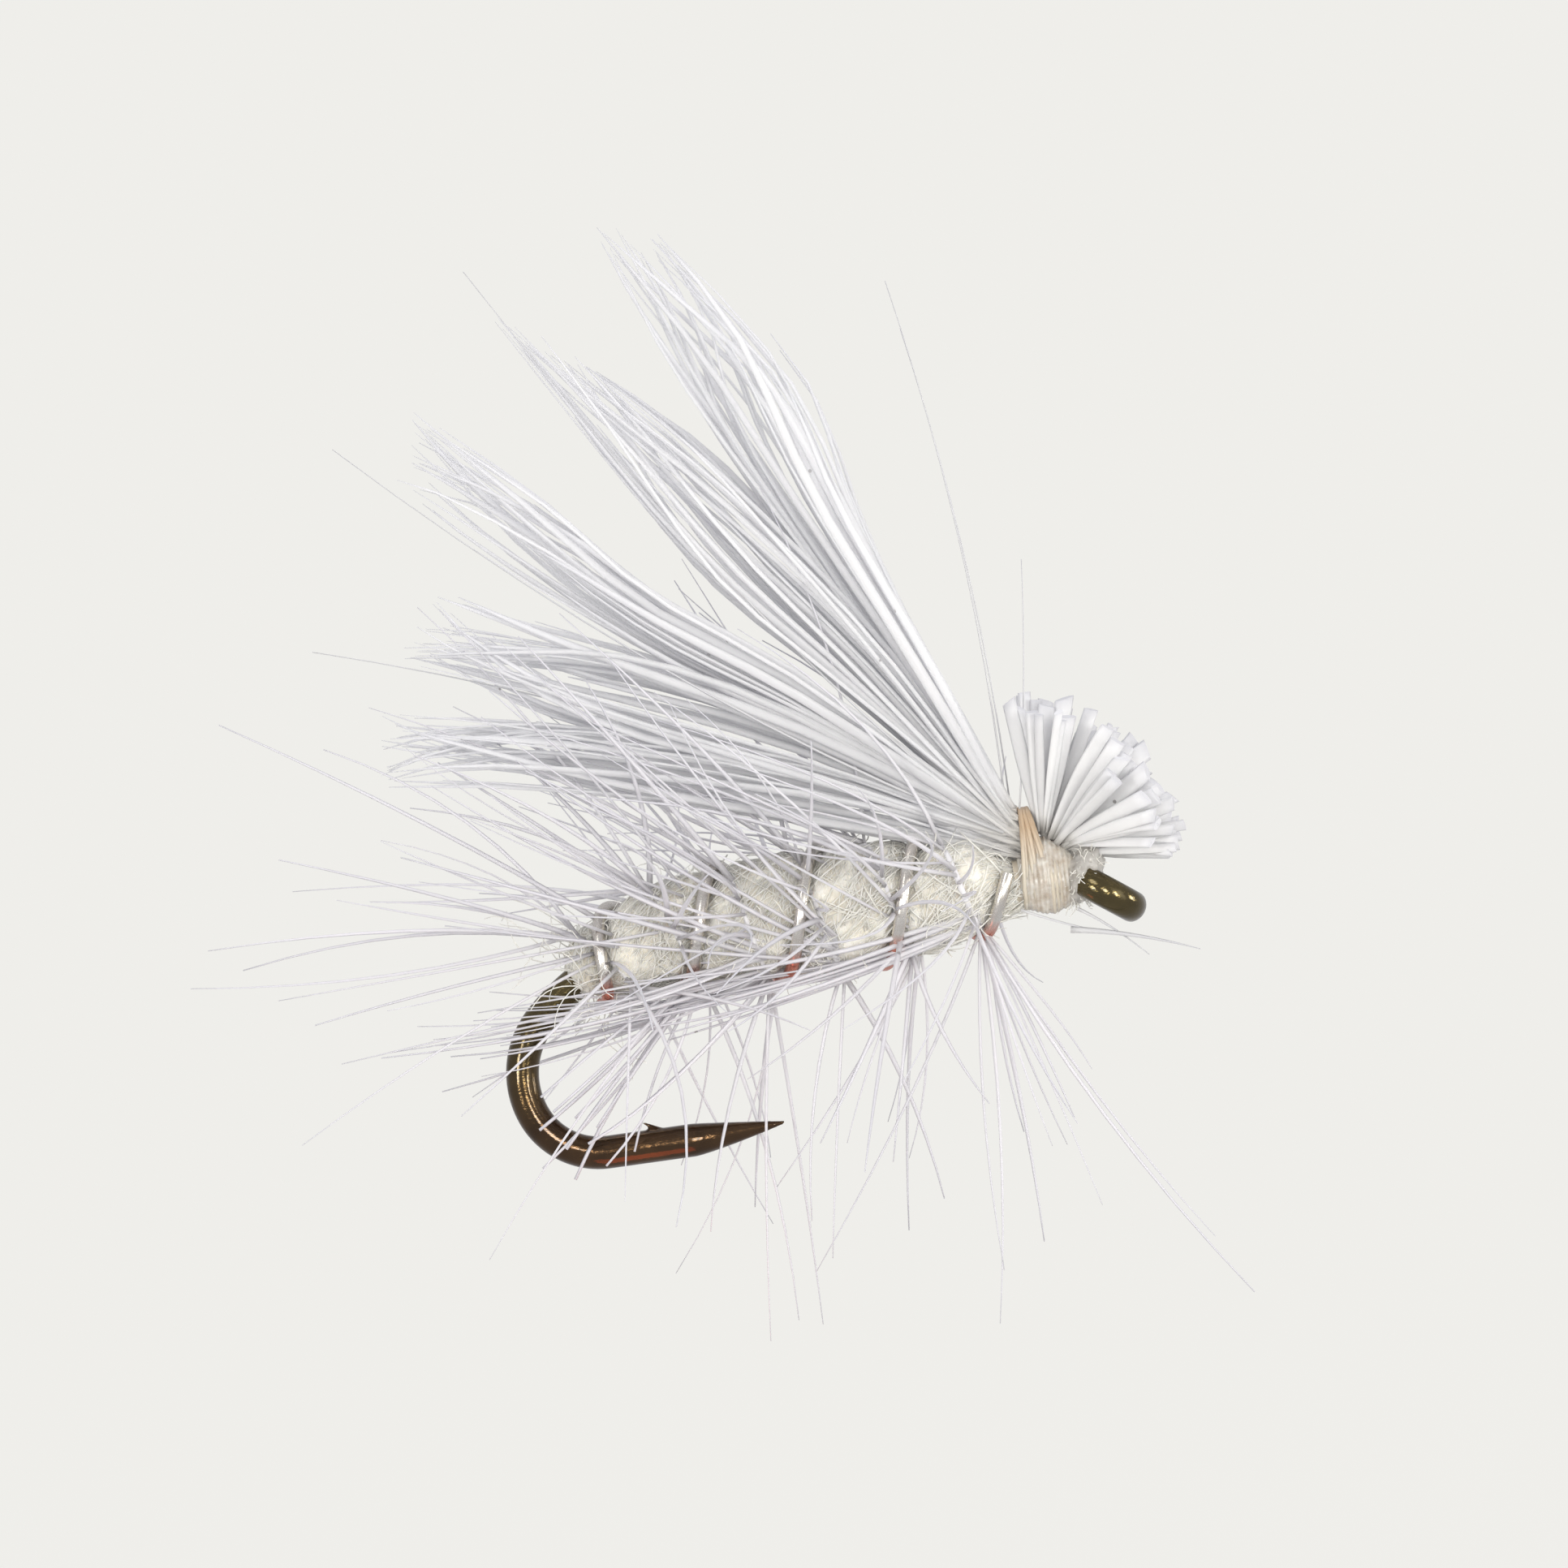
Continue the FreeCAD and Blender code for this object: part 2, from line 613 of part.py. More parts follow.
def hair_slots():
    """Where each hair crosses the tie: offsets (across, up) that fill the round bundle, highest first."""
    count = int(size("hairs_per_tuft")) * len(TUFTS)
    reach = size("bundle_radius") - size("hair_tie_diameter") / 2
    slots = []
    for index in range(count):
        radius = reach * math.sqrt((index + 0.5) / count)
        angle = index * math.pi * (3 - math.sqrt(5))
        slots.append((radius * math.cos(angle), radius * math.sin(angle)))
    return sorted(slots, key=lambda slot: -slot[1])


def curve_point(ends, share):
    """A point on the quadratic curve through the first and last of three points."""
    first, middle, last = ends
    return first * (1 - share) ** 2 + middle * (2 * share * (1 - share)) + last * share ** 2


def make_hair(slot, tuft, place, rank):
    """One wing hair from its cut stub, through the tie, to its fine tip."""
    across, up = slot
    leave, aim, length_share = tuft
    offset = Vector(0, across, up)
    cut_side = tie_front() + offset
    tie = tie_back() + offset
    side = across / size("bundle_radius")
    length = size("hair_length") * length_share * (1 - size("outer_hair_shortening") * abs(place))
    slope = math.radians(aim + size("tuft_half_angle") * place)
    start_slope = math.radians(leave + size("tuft_half_angle") * place)
    wing_side = side * size("wing_half_width")
    tip = tie + Vector(-math.cos(slope) * length, wing_side, math.sin(slope) * length)
    knee_reach = length * size("hair_knee_share")
    knee = tie + Vector(-math.cos(start_slope), 0, math.sin(start_slope)) * knee_reach
    knee.y += wing_side * size("hair_knee_spread")
    stub_slope = math.radians(STUB_SLOPES[0] + (STUB_SLOPES[1] - STUB_SLOPES[0]) * rank)
    stub = Vector(math.cos(stub_slope), 0, math.sin(stub_slope)) * size("stub_length")
    stub.y = side * size("stub_half_width")
    narrow = size("hair_tie_diameter")
    points = [cut_side + stub, cut_side + stub * size("stub_waist_place"), cut_side, tie]
    widths = [size("stub_diameter"), size("stub_diameter") * size("stub_waist_share"), narrow, narrow]
    for share in HAIR_PLACES:
        points.append(curve_point((tie, knee, tip), share))
        widths.append(size("hair_diameter") * (1 - share * size("hair_taper_share")))
    widths[-1] = size("hair_tip_diameter")
    return tapered_rod(points, widths)


def flat_face(corners):
    """A flat face inside a ring of corners."""
    return Part.Face(Part.makePolygon(corners + corners[:1]))


def rod_ring(points, widths, index):
    """The corners of a rod's section at one of its points, square to the rod there."""
    before = points[max(index - 1, 0)]
    after = points[min(index + 1, len(points) - 1)]
    along = (after - before).normalize()
    across = along.cross(Vector(0, 1, 0)).normalize()
    other = along.cross(across)
    corners = []
    for side in range(ROD_SIDES):
        angle = 2 * math.pi * side / ROD_SIDES
        spoke = across * math.cos(angle) + other * math.sin(angle)
        corners.append(points[index] + spoke * (widths[index] / 2))
    return corners


def tapered_rod(points, widths):
    """A closed flat-sided rod through the points, with its own width at each."""
    rings = [rod_ring(points, widths, index) for index in range(len(points))]
    faces = [flat_face(rings[0]), flat_face(rings[-1])]
    for near, far in zip(rings, rings[1:]):
        for side in range(ROD_SIDES):
            after = (side + 1) % ROD_SIDES
            faces.append(flat_face([near[side], near[after], far[after]]))
            faces.append(flat_face([near[side], far[after], far[side]]))
    shell = Part.makeShell(faces)
    shell.sewShape()
    rod = Part.makeSolid(Part.Shell(shell.Faces))
    return rod.reversed() if rod.Volume < 0 else rod


def make_wing_tuft(number, slots):
    """One of the wing's tapering tufts, steepest first, as a group of single hairs."""
    count = int(size("hairs_per_tuft"))
    first = (number - 1) * count
    hairs = []
    for index in range(count):
        place = 1 - 2 * index / (count - 1)
        rank = (first + index) / (len(slots) - 1)
        hairs.append(make_hair(slots[first + index], TUFTS[number - 1], place, rank))
    tuft = doc.addObject("Part::Feature", f"wing_tuft_{number}")
    tuft.Label = f"wing_tuft_{number}"
    tuft.Shape = Part.makeCompound(hairs)
    return tuft


def make_loose_hairs():
    """The few single hairs that stand away from the wing and the head."""
    width = size("loose_hair_diameter")
    ends = []
    for root, tip in WING_STRAYS:
        ends.append((tie_back() + root * size("bundle_radius"), tie_back() + tip * size("hair_length")))
    station = body_front_station()
    for angle, way in TIE_OFF_STRAYS:
        root = around_body(station, angle, size("tie_off_radius") + width / 2)
        ends.append((root, root + way * size("stub_length")))
    hairs = [tapered_rod([root, (root + tip) / 2, tip], [width, width, width / 3]) for root, tip in ends]
    group = doc.addObject("Part::Feature", "loose_hairs")
    group.Label = "loose_hairs"
    group.Shape = Part.makeCompound(hairs)
    return group


def make_thread_parts():
    """Thread base, rear tie-in, front tie-off, head, whip finish and the cement over it."""
    base_back_x = f"({RING_BACK_X} - sizes.shank_length)"
    head_radius = "sizes.head_front_radius"
    cement_radius = f"({head_radius} + sizes.cement_thickness)"
    cement_back_x = f"({HEAD_FRONT_X} - sizes.cement_length)"
    whip_width = "sizes.thread_diameter / 2 + sizes.wrap_pitch * (sizes.whip_wrap_count - 1)"
    whip_back_x = f"({cement_back_x} - ({whip_width}))"
    return [
        make_sleeve("thread_base", TIE_OFF_BACK_X, base_back_x, WIRE_RADIUS, BASE_RADIUS, BASE_RADIUS),
        make_sleeve("front_tie_off", HEAD_BACK_X, TIE_OFF_BACK_X, WIRE_RADIUS,
                    "sizes.tie_off_radius", "sizes.tie_off_radius"),
        make_sleeve("thread_head", HEAD_FRONT_X, HEAD_BACK_X, WIRE_RADIUS,
                    head_radius, "sizes.head_back_radius"),
        make_sleeve("head_cement", HEAD_FRONT_X, cement_back_x, head_radius,
                    cement_radius, cement_radius),
        make_wraps("whip_finish", "whip_wrap_count", whip_back_x, "sizes.head_back_radius"),
        make_wraps("rear_tie_in", "rear_wrap_count", base_back_x, BASE_RADIUS),
    ]


def make_fly():
    """Every sub-part, from the hook outward."""
    nodes = [make_hook()]
    nodes += make_thread_parts()
    quill = make_quill()
    nodes += [make_dubbed_body(quill), make_rib(), quill]
    nodes += [make_hackle_wrap(number) for number in range(1, int(size("hackle_wrap_count")) + 1)]
    slots = hair_slots()
    nodes += [make_wing_tuft(number, slots) for number in range(1, len(TUFTS) + 1)]
    nodes += [make_loose_hairs(), make_wing_collar()]
    return nodes


def check(nodes):
    """Stop before anything is written if a feature failed or a sub-part has no sound shape."""
    for item in doc.Objects:
        if "Invalid" in item.State or "Error" in item.State:
            raise ValueError(f"{item.Label} failed: {item.State}")
    for node in nodes:
        if node.Shape.isNull() or not node.Shape.isValid() or not node.Shape.Solids:
            raise ValueError(f"{node.Label} has no sound solid")
        if min(solid.Volume for solid in node.Shape.Solids) <= 0:
            raise ValueError(f"{node.Label} has a solid that is inside out")


def main():
    nodes = make_fly()
    doc.recompute()
    check(nodes)
    os.makedirs("parts", exist_ok=True)
    for node in nodes:
        node.Shape.exportStep(f"parts/{node.Label}.step")
        box = node.Shape.BoundBox
        corners = [box.XMin, box.XMax, box.YMin, box.YMax, box.ZMin, box.ZMax]
        places = " ".join(f"{corner:.2f}" for corner in corners)
        print(f"{node.Label}: {len(node.Shape.Solids)} solids, {node.Shape.Volume:.4f} mm3, box {places}")


main()
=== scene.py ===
import math
import random

import bpy
from bpy.props import FloatProperty, FloatVectorProperty, IntProperty, PointerProperty
from mathutils import Matrix, Vector, noise


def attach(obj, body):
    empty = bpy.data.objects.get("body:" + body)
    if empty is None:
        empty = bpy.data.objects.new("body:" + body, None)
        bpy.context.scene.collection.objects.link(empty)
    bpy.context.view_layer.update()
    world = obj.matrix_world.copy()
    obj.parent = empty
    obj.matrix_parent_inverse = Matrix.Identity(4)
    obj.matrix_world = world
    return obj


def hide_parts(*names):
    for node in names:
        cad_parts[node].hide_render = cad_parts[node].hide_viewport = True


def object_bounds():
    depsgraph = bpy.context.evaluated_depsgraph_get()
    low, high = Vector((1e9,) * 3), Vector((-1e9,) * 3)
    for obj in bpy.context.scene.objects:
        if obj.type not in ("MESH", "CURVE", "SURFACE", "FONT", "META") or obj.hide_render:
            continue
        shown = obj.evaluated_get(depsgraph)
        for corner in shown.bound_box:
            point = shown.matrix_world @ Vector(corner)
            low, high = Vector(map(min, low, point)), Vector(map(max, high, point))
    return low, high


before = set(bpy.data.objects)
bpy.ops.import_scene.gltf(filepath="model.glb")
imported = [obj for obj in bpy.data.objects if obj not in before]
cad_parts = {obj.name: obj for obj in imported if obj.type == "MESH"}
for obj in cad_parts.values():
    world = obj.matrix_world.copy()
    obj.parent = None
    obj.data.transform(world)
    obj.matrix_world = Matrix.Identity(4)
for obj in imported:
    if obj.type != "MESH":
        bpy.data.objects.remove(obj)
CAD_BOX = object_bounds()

bl_info = {
    "name": "Hair Wing Dry Fly",
    "version": (1, 0, 0),
    "blender": (4, 5, 0),
    "location": "3D View > Sidebar > Dry Fly",
    "description": "Ties a hair wing dry fly round its packed frame, piece by piece",
    "category": "Object",
}

# Pieces are tied at bench scale, one unit to the millimetre, and shrunk to metres when they are finished.
MM = 0.001
BODY = "root"
HACKLE_TURNS = 6
TUFT_COUNT = 5
# The soft bulge of the fur between turns of the rib, the groove's reach to each side, how far before the fur's
# rear end the rib starts, and how small the fur is at its ends.
BULGE = 0.055
GROOVE_REACH = 0.17
RIB_END_GAP = 0.13
END_SIZE = 0.45
# Shares of the fur's length over which its ends are rounded.
REAR_ROUNDING = 0.05
FRONT_ROUNDING = 0.13
# How deep red, green and blue light goes into waxed thread.
WAX_DEPTHS = (1.0, 0.85, 0.7)


def length_property(name, description, millimetres):
    return FloatProperty(name=name, description=description, default=millimetres * MM, min=0.0,
                         unit="LENGTH", subtype="DISTANCE", precision=6)


def angle_property(name, description, degrees):
    return FloatProperty(name=name, description=description, default=math.radians(degrees),
                         unit="ROTATION", subtype="ANGLE")


def colour_property(name, description, colour):
    return FloatVectorProperty(name=name, description=description, default=colour, size=3,
                               min=0.0, max=1.0, subtype="COLOR")


class FlyHookSettings(bpy.types.PropertyGroup):
    wire_diameter: length_property("Wire", "Diameter of the hook wire", 0.45)
    ring_radius: length_property("Ring radius", "Mean radius of the eye ring", 0.50)
    ring_wire: length_property("Ring wire", "Diameter of the wire in the eye ring", 0.40)
    eye_angle: angle_property("Eye angle", "How far the eye is turned down", 36.3)
    shank_length: length_property("Shank", "Straight length behind the eye", 5.77)
    entry_radius: length_property("Entry radius", "Radius where the bend starts", 3.73)
    entry_turn: angle_property("Entry turn", "Turn where the bend starts", 43.5)
    heel_radius: length_property("Heel radius", "Radius at the back of the bend", 1.32)
    heel_turn: angle_property("Heel turn", "Turn at the back of the bend", 67.0)
    throat_radius: length_property("Throat radius", "Radius at the bottom of the bend", 1.13)
    throat_turn: angle_property("Throat turn", "Turn at the bottom of the bend", 69.5)
    spear_length: length_property("Spear", "Straight wire before the point", 1.32)
    point_length: length_property("Point", "Length of the tapered point", 1.40)
    point_lift: length_property("Point lift", "How far the point rises off the wire's centre line", 0.08)
    barb_length: length_property("Barb", "Length of the cut barb", 0.42)
    barb_height: length_property("Barb height", "How far the barb stands off the wire", 0.16)
    barb_setback: length_property("Barb setback", "Distance from the barb's root to the point's start", 0.35)
    bronze: colour_property("Bronze", "Colour of the bronzed wire", (0.165, 0.125, 0.048))


class FlyBodySettings(bpy.types.PropertyGroup):
    front_radius: length_property("Front radius", "Radius where the dubbing starts", 0.50)
    peak_radius: length_property("Peak radius", "Radius at the fattest place", 0.87)
    rear_radius: length_property("Rear radius", "Radius at the rear end", 0.44)
    front_station: length_property("Front", "Distance from the eye ring to the dubbing", 0.93)
    peak_setback: length_property("Peak setback", "Distance from the fattest place to the bend", 1.97)
    overhang: length_property("Overhang", "How far the dubbing runs round the bend", 2.08)
    front_cover: length_property("Front cover", "How far the fur hides the tie-off in front of it", 0.22)
    groove_depth: length_property("Groove", "How deep the rib pulls the dubbing in", 0.12)
    rib_diameter: length_property("Rib wire", "Diameter of the rib wire", 0.145)
    rib_pitch: length_property("Rib pitch", "Distance between turns of the rib", 1.556)
    quill_diameter: length_property("Quill", "Diameter of the hackle's quill", 0.11)
    fibre_count: IntProperty(name="Fibres", description="Loose fibres in the dubbing", default=2300, min=0)
    fur: colour_property("Fur", "Colour of the dubbing", (0.95, 0.93, 0.865))
    silver: colour_property("Silver", "Colour of the rib wire", (0.86, 0.85, 0.82))


class FlyHackleSettings(bpy.types.PropertyGroup):
    barbs_per_wrap: IntProperty(name="Barbs", description="Barbs on each turn", default=33, min=1)
    reach: length_property("Reach", "Length of the longest barbs", 6.3)
    barb_diameter: length_property("Barb", "Diameter of a barb at its root", 0.088)
    white: colour_property("White", "Colour of the hackle", (0.86, 0.85, 0.885))


class FlyWingSettings(bpy.types.PropertyGroup):
    hairs_per_tuft: IntProperty(name="Hairs", description="Hairs in each tuft", default=46, min=1)
    hair_diameter: length_property("Hair", "Diameter of a hair where it is thickest", 0.145)
    bundle_radius: length_property("Bundle", "Radius of the hair bundle under the thread", 0.36)
    half_width: length_property("Half width", "How far the tips spread to each side", 2.6)
    stub_count: IntProperty(name="Stubs", description="Cut hair ends over the head", default=85, min=1)
    stub_diameter: length_property("Stub", "Width of a cut hair end", 0.27)
    stub_length: length_property("Stub length", "Length of the cut ends", 2.15)
    white: colour_property("White", "Colour of the hair", (0.885, 0.885, 0.90))


class FlyThreadSettings(bpy.types.PropertyGroup):
    diameter: length_property("Thread", "Diameter of the tying thread", 0.09)
    head_gap: length_property("Gap", "Bare wire between the eye ring and the head", 0.02)
    head_length: length_property("Head", "Length of the thread head", 0.43)
    tie_off_radius: length_property("Tie-off radius", "Radius of the thread under the hair", 0.36)
    cream: colour_property("Cream", "Colour of the waxed thread", (0.42, 0.37, 0.30))
    tan: colour_property("Tan", "Colour of the thread pulled over the hair", (0.42, 0.27, 0.15))


class FlyStageSettings(bpy.types.PropertyGroup):
    drop: length_property("Drop", "Distance from the fly down to the floor", 9.0)
    pale: colour_property("Pale", "Colour of the floor and backdrop", (0.871, 0.863, 0.831))


SETTINGS = {
    "fly_hook": FlyHookSettings,
    "fly_body": FlyBodySettings,
    "fly_hackle": FlyHackleSettings,
    "fly_wing": FlyWingSettings,
    "fly_thread": FlyThreadSettings,
    "fly_stage": FlyStageSettings,
}


def bench(group, name):
    """One setting in bench units."""
    return getattr(getattr(bpy.context.scene, group), name) / MM


def setting(group, name):
    """One setting that is no length."""
    return getattr(getattr(bpy.context.scene, group), name)


# ---------------------------------------------------------------- the hook's centre line


def shank_height():
    return bench("fly_hook", "ring_radius") * math.sin(setting("fly_hook", "eye_angle"))


def ring_back():
    return -bench("fly_hook", "ring_radius") * math.cos(setting("fly_hook", "eye_angle"))


def head_front():
    return ring_back() - bench("fly_thread", "head_gap")


def head_back():
    return head_front() - bench("fly_thread", "head_length")


def axis_at(station):
    """Centre of the wire at a station behind the eye ring, its upward normal and the backward direction."""
    straight = bench("fly_hook", "shank_length")
    radius = bench("fly_hook", "entry_radius")
    turn = max(0.0, station - straight) / radius
    x = ring_back() - min(station, straight) - radius * math.sin(turn)
    z = shank_height() - radius * (1 - math.cos(turn))
    return (Vector((x, 0, z)), Vector((-math.sin(turn), 0, math.cos(turn))),
            Vector((-math.cos(turn), 0, -math.sin(turn))))


def body_rear():
    return bench("fly_hook", "shank_length") + bench("fly_body", "overhang")


def body_front():
    """Station where the fur begins: in front of the dubbing's own start, because it hides the tie-off."""
    return bench("fly_body", "front_station") - bench("fly_body", "front_cover")


def body_radius(station):
    """Radius of the dubbing before the rib pulls it in."""
    front = bench("fly_body", "front_station")
    peak = bench("fly_hook", "shank_length") - bench("fly_body", "peak_setback")
    rear = body_rear()
    fattest = bench("fly_body", "peak_radius")
    if station < peak:
        share = (peak - max(station, front)) / (peak - front)
        end = bench("fly_body", "front_radius")
    else:
        share = (min(station, rear) - peak) / (rear - peak)
        end = bench("fly_body", "rear_radius")
    return fattest + (end - fattest) * share ** 2


def around(station, angle, radius):
    """A point beside the wire, its angle in radians from straight below through the -Y side."""
    centre, normal, _ = axis_at(station)
    return centre + (Vector((0, -1, 0)) * math.sin(angle) - normal * math.cos(angle)) * radius


def outward_at(station, angle):
    """Direction straight out from the wire."""
    return (around(station, angle, 2.0) - around(station, angle, 1.0)).normalized()


def rib_start():
    return body_rear() - RIB_END_GAP


def rib_station(angle):
    """Station of the rib after turning by an angle from its start below the body's rear."""
    return rib_start() - bench("fly_body", "rib_pitch") * angle / math.tau


def rib_distance(station, angle):
    """Distance along the body from a place on it to the nearest turn of the rib."""
    pitch = bench("fly_body", "rib_pitch")
    offset = (rib_start() - station) / pitch - angle / math.tau
    return abs(offset - round(offset)) * pitch


def end_rounding(station):
    """1 along the body, falling in a curve to 0 at its two ends."""
    front = body_front()
    share = (station - front) / (body_rear() - front)
    behind = math.sqrt(max(0.0, (1 - share) / REAR_ROUNDING))
    ahead = math.sqrt(max(0.0, share / FRONT_ROUNDING))
    return min(1.0, behind, ahead)


def pulled_radius(station, angle):
    """Radius of the dubbing with the rib's groove and the soft bulges between its turns."""
    near = rib_distance(station, angle)
    half = bench("fly_body", "rib_pitch") / 2
    bulge = BULGE * math.cos(math.pi * (1 - near / half) / 2) ** 0.7
    groove = bench("fly_body", "groove_depth") * math.exp(-(near / GROOVE_REACH) ** 2)
    return (body_radius(station) + bulge - groove) * (END_SIZE + (1 - END_SIZE) * end_rounding(station))


# ---------------------------------------------------------------- shader building


class Value:
    """A shader socket that works in Python expressions: each operator adds one Math node."""

    def __init__(self, finish, socket):
        self.finish = finish
        self.socket = socket

    def maths(self, operation, first, second):
        return self.finish.add("ShaderNodeMath", {"operation": operation}, {0: first, 1: second})

    def __add__(self, other):
        return self.maths("ADD", self, other)

    def __radd__(self, other):
        return self.maths("ADD", other, self)

    def __sub__(self, other):
        return self.maths("SUBTRACT", self, other)

    def __rsub__(self, other):
        return self.maths("SUBTRACT", other, self)

    def __mul__(self, other):
        return self.maths("MULTIPLY", self, other)

    def __rmul__(self, other):
        return self.maths("MULTIPLY", other, self)

    def __pow__(self, other):
        return self.maths("POWER", self, other)

    def __gt__(self, other):
        return self.maths("GREATER_THAN", self, other)

    def __lt__(self, other):
        return self.maths("LESS_THAN", self, other)


class Finish:
    """A material being made: its tree, its main shader and the calls that add nodes."""

    def __init__(self, name):
        self.material = bpy.data.materials.new(name)
        self.material.use_nodes = True
        self.tree = self.material.node_tree
        self.shader = self.tree.nodes["Principled BSDF"]
        self.output = self.tree.nodes["Material Output"]

    def feed(self, socket, value):
        if isinstance(value, Value):
            self.tree.links.new(value.socket, socket)
        elif hasattr(socket.default_value, "__len__") and len(socket.default_value) == 4 and len(value) == 3:
            socket.default_value = (*value, 1.0)
        else:
            socket.default_value = value

    def add(self, kind, choices=None, inputs=None, result=0):
        """Add any node: its choices are set first, then the values or links of its sockets."""
        node = self.tree.nodes.new(kind)
        for name, choice in (choices or {}).items():
            setattr(node, name, choice)
        for key, value in (inputs or {}).items():
            self.feed(node.inputs[key], value)
        return Value(self, node.outputs[result])

    def surface(self, **inputs):
        """Set sockets of the main shader by name, with underscores for spaces."""
        for name, value in inputs.items():
            self.feed(self.shader.inputs[name.replace("_", " ")], value)

    def place(self):
        """Position on the object, in metres."""
        return self.add("ShaderNodeTexCoord", result="Object")

    def along(self, result=0):
        """A fibre's UV: 0 is the way along it, 1 is its own shade."""
        uv = self.add("ShaderNodeUVMap", {"uv_map": "UVMap"})
        return self.add("ShaderNodeSeparateXYZ", None, {0: uv}, result)

    def stretched(self, where, *scale):
        """A place with its three axes scaled."""
        return self.add("ShaderNodeMapping", None, {"Vector": where, "Scale": scale})

    def noise(self, where, size, detail=3.0, roughness=0.55):
        """Noise whose features are about size millimetres across."""
        settings = {"Vector": where, "Scale": 1 / (size * MM), "Detail": detail, "Roughness": roughness}
        return self.add("ShaderNodeTexNoise", None, settings, "Fac")

    def mix(self, factor, first, second):
        """A colour between two others."""
        choices = {"data_type": "RGBA"}
        return self.add("ShaderNodeMix", choices, {0: factor, 6: first, 7: second}, 2)

    def bump(self, relief, depth):
        """A normal from a relief, its depth in millimetres."""
        return self.add("ShaderNodeBump", None, {"Height": relief, "Distance": depth * MM, "Strength": 1.0})

    def glow_through(self, colour, share):
        """Let a share of the light come through from behind."""
        behind = self.add("ShaderNodeBsdfTranslucent", None, {"Color": colour})
        front = Value(self, self.shader.outputs[0])
        mixed = self.add("ShaderNodeMixShader", None, {0: share, 1: front, 2: behind})
        self.tree.links.new(mixed.socket, self.output.inputs["Surface"])


def tinted(colour, *shares):
    """A colour with its parts multiplied by three shares, or all of them by one."""
    return [part * share for part, share in zip(colour, shares * 3 if len(shares) == 1 else shares)]


def height(finish, where, low, high):
    """0 below one height on the object and 1 above another, both in millimetres."""
    up = finish.add("ShaderNodeSeparateXYZ", None, {0: where}, 2)
    limits = {"Value": up, "From Min": low * MM, "From Max": high * MM}
    return finish.add("ShaderNodeMapRange", None, limits)


def bronze_finish():
    """Bronzed and lacquered wire: olive by the eye, redder and darker round the bend from a painted red
    reflection, with fine draw marks.
    """
    finish = Finish("bronzed_wire")
    where = finish.place()
    colour = setting("fly_hook", "bronze")
    # The redder, darker colour low on the bend is a painted reflection of red light from below.
    red = tinted(colour, 0.66, 0.46, 0.48)
    blotch = finish.noise(where, 0.5)
    grain = finish.noise(finish.stretched(where, 0.25, 1.0, 1.0), 0.03, 2.0)
    tone = finish.mix(height(finish, where, -2.4, -0.6), red, colour)
    marked = finish.mix(blotch * 1.2 - 0.2, finish.mix(0.65, tone, (0.0, 0.0, 0.0)), tone)
    finish.surface(Base_Color=marked, Metallic=0.90, Roughness=0.08 + grain * 0.14, Coat_Weight=0.4,
                   Coat_Roughness=0.06, Normal=finish.bump(grain + blotch * 2.0, 0.004))
    return finish.material


def silver_finish():
    """Bright drawn wire with painted reflections: warmer brown-grey in patches, and red where it runs under the
    body.
    """
    finish = Finish("silver_wire")
    where = finish.place()
    colour = setting("fly_body", "silver")
    # The warmer brown-grey, laid on in patches by noise, is a painted reflection of darker surroundings.
    warm_reflection = tinted(colour, 0.66, 0.58, 0.50)
    blotch = finish.noise(where, 0.25)
    grain = finish.noise(where, 0.02)
    silver = finish.mix(blotch * 0.8, colour, warm_reflection)
    # The red on the wire's underside is a painted reflection of red light from below.
    red_reflection = (0.66, 0.20, 0.12)
    reflected_silver = finish.mix((1.0 - height(finish, where, -0.42, -0.20)) * 0.85, silver, red_reflection)
    finish.surface(Base_Color=reflected_silver, Metallic=1.0, Roughness=0.20 + grain * 0.12,
                   Normal=finish.bump(grain, 0.0005))
    return finish.material


def specks(finish, where):
    """Rare dark specks of dust: 1 on a speck and 0 elsewhere."""
    spacing = 0.32 * MM
    distance = finish.add("ShaderNodeTexVoronoi", None, {"Vector": where, "Scale": 1 / spacing}, "Distance")
    colour = Value(finish, distance.socket.node.outputs["Color"])
    chance = finish.add("ShaderNodeSeparateColor", None, {0: colour})
    return (distance < 0.09) * (chance > 0.90)


def hair_finish(name, colour, through, stain, fade, glow=0.0):
    """White hair: each has its own tone, is painted lavender grey towards its tip as shade at the rate fade,
    and is stained at its root.

    through is the share of light that comes through it and glow how much painted light it gives off by itself,
    lifting the shade between hairs.
    """
    finish = Finish(name)
    where = finish.place()
    way = finish.along(0)
    shade = finish.along(1)
    # The lavender grey laid on towards the tip is painted shade.
    tip_shade = tinted(colour, 0.62, 0.62, 0.665)
    tan = (0.60, 0.55, 0.45)
    dust = (0.12, 0.10, 0.09)
    streak = finish.noise(where, 0.12)
    own = finish.mix(shade ** 1.6 * 0.9 + streak * 0.3 - 0.1, colour, tinted(colour, 0.84))
    tipward = way ** fade
    tip_shaded = finish.mix(tipward * 0.8, own, tip_shade)
    stained = finish.mix((1.0 - way * 5.0) * stain, tip_shaded, tan)
    speckled = finish.mix(specks(finish, where) * 0.8, stained, dust)
    # Any emission here is painted light: a glow the hair gives off though it is no lamp.
    finish.surface(Base_Color=speckled, Roughness=0.34 + streak * 0.2, Specular_IOR_Level=0.5,
                   Emission_Color=(*colour, 1.0), Emission_Strength=glow, Normal=finish.bump(streak, 0.006))
    finish.glow_through(colour, (1.0 - tipward * 0.5) * through)
    return finish.material


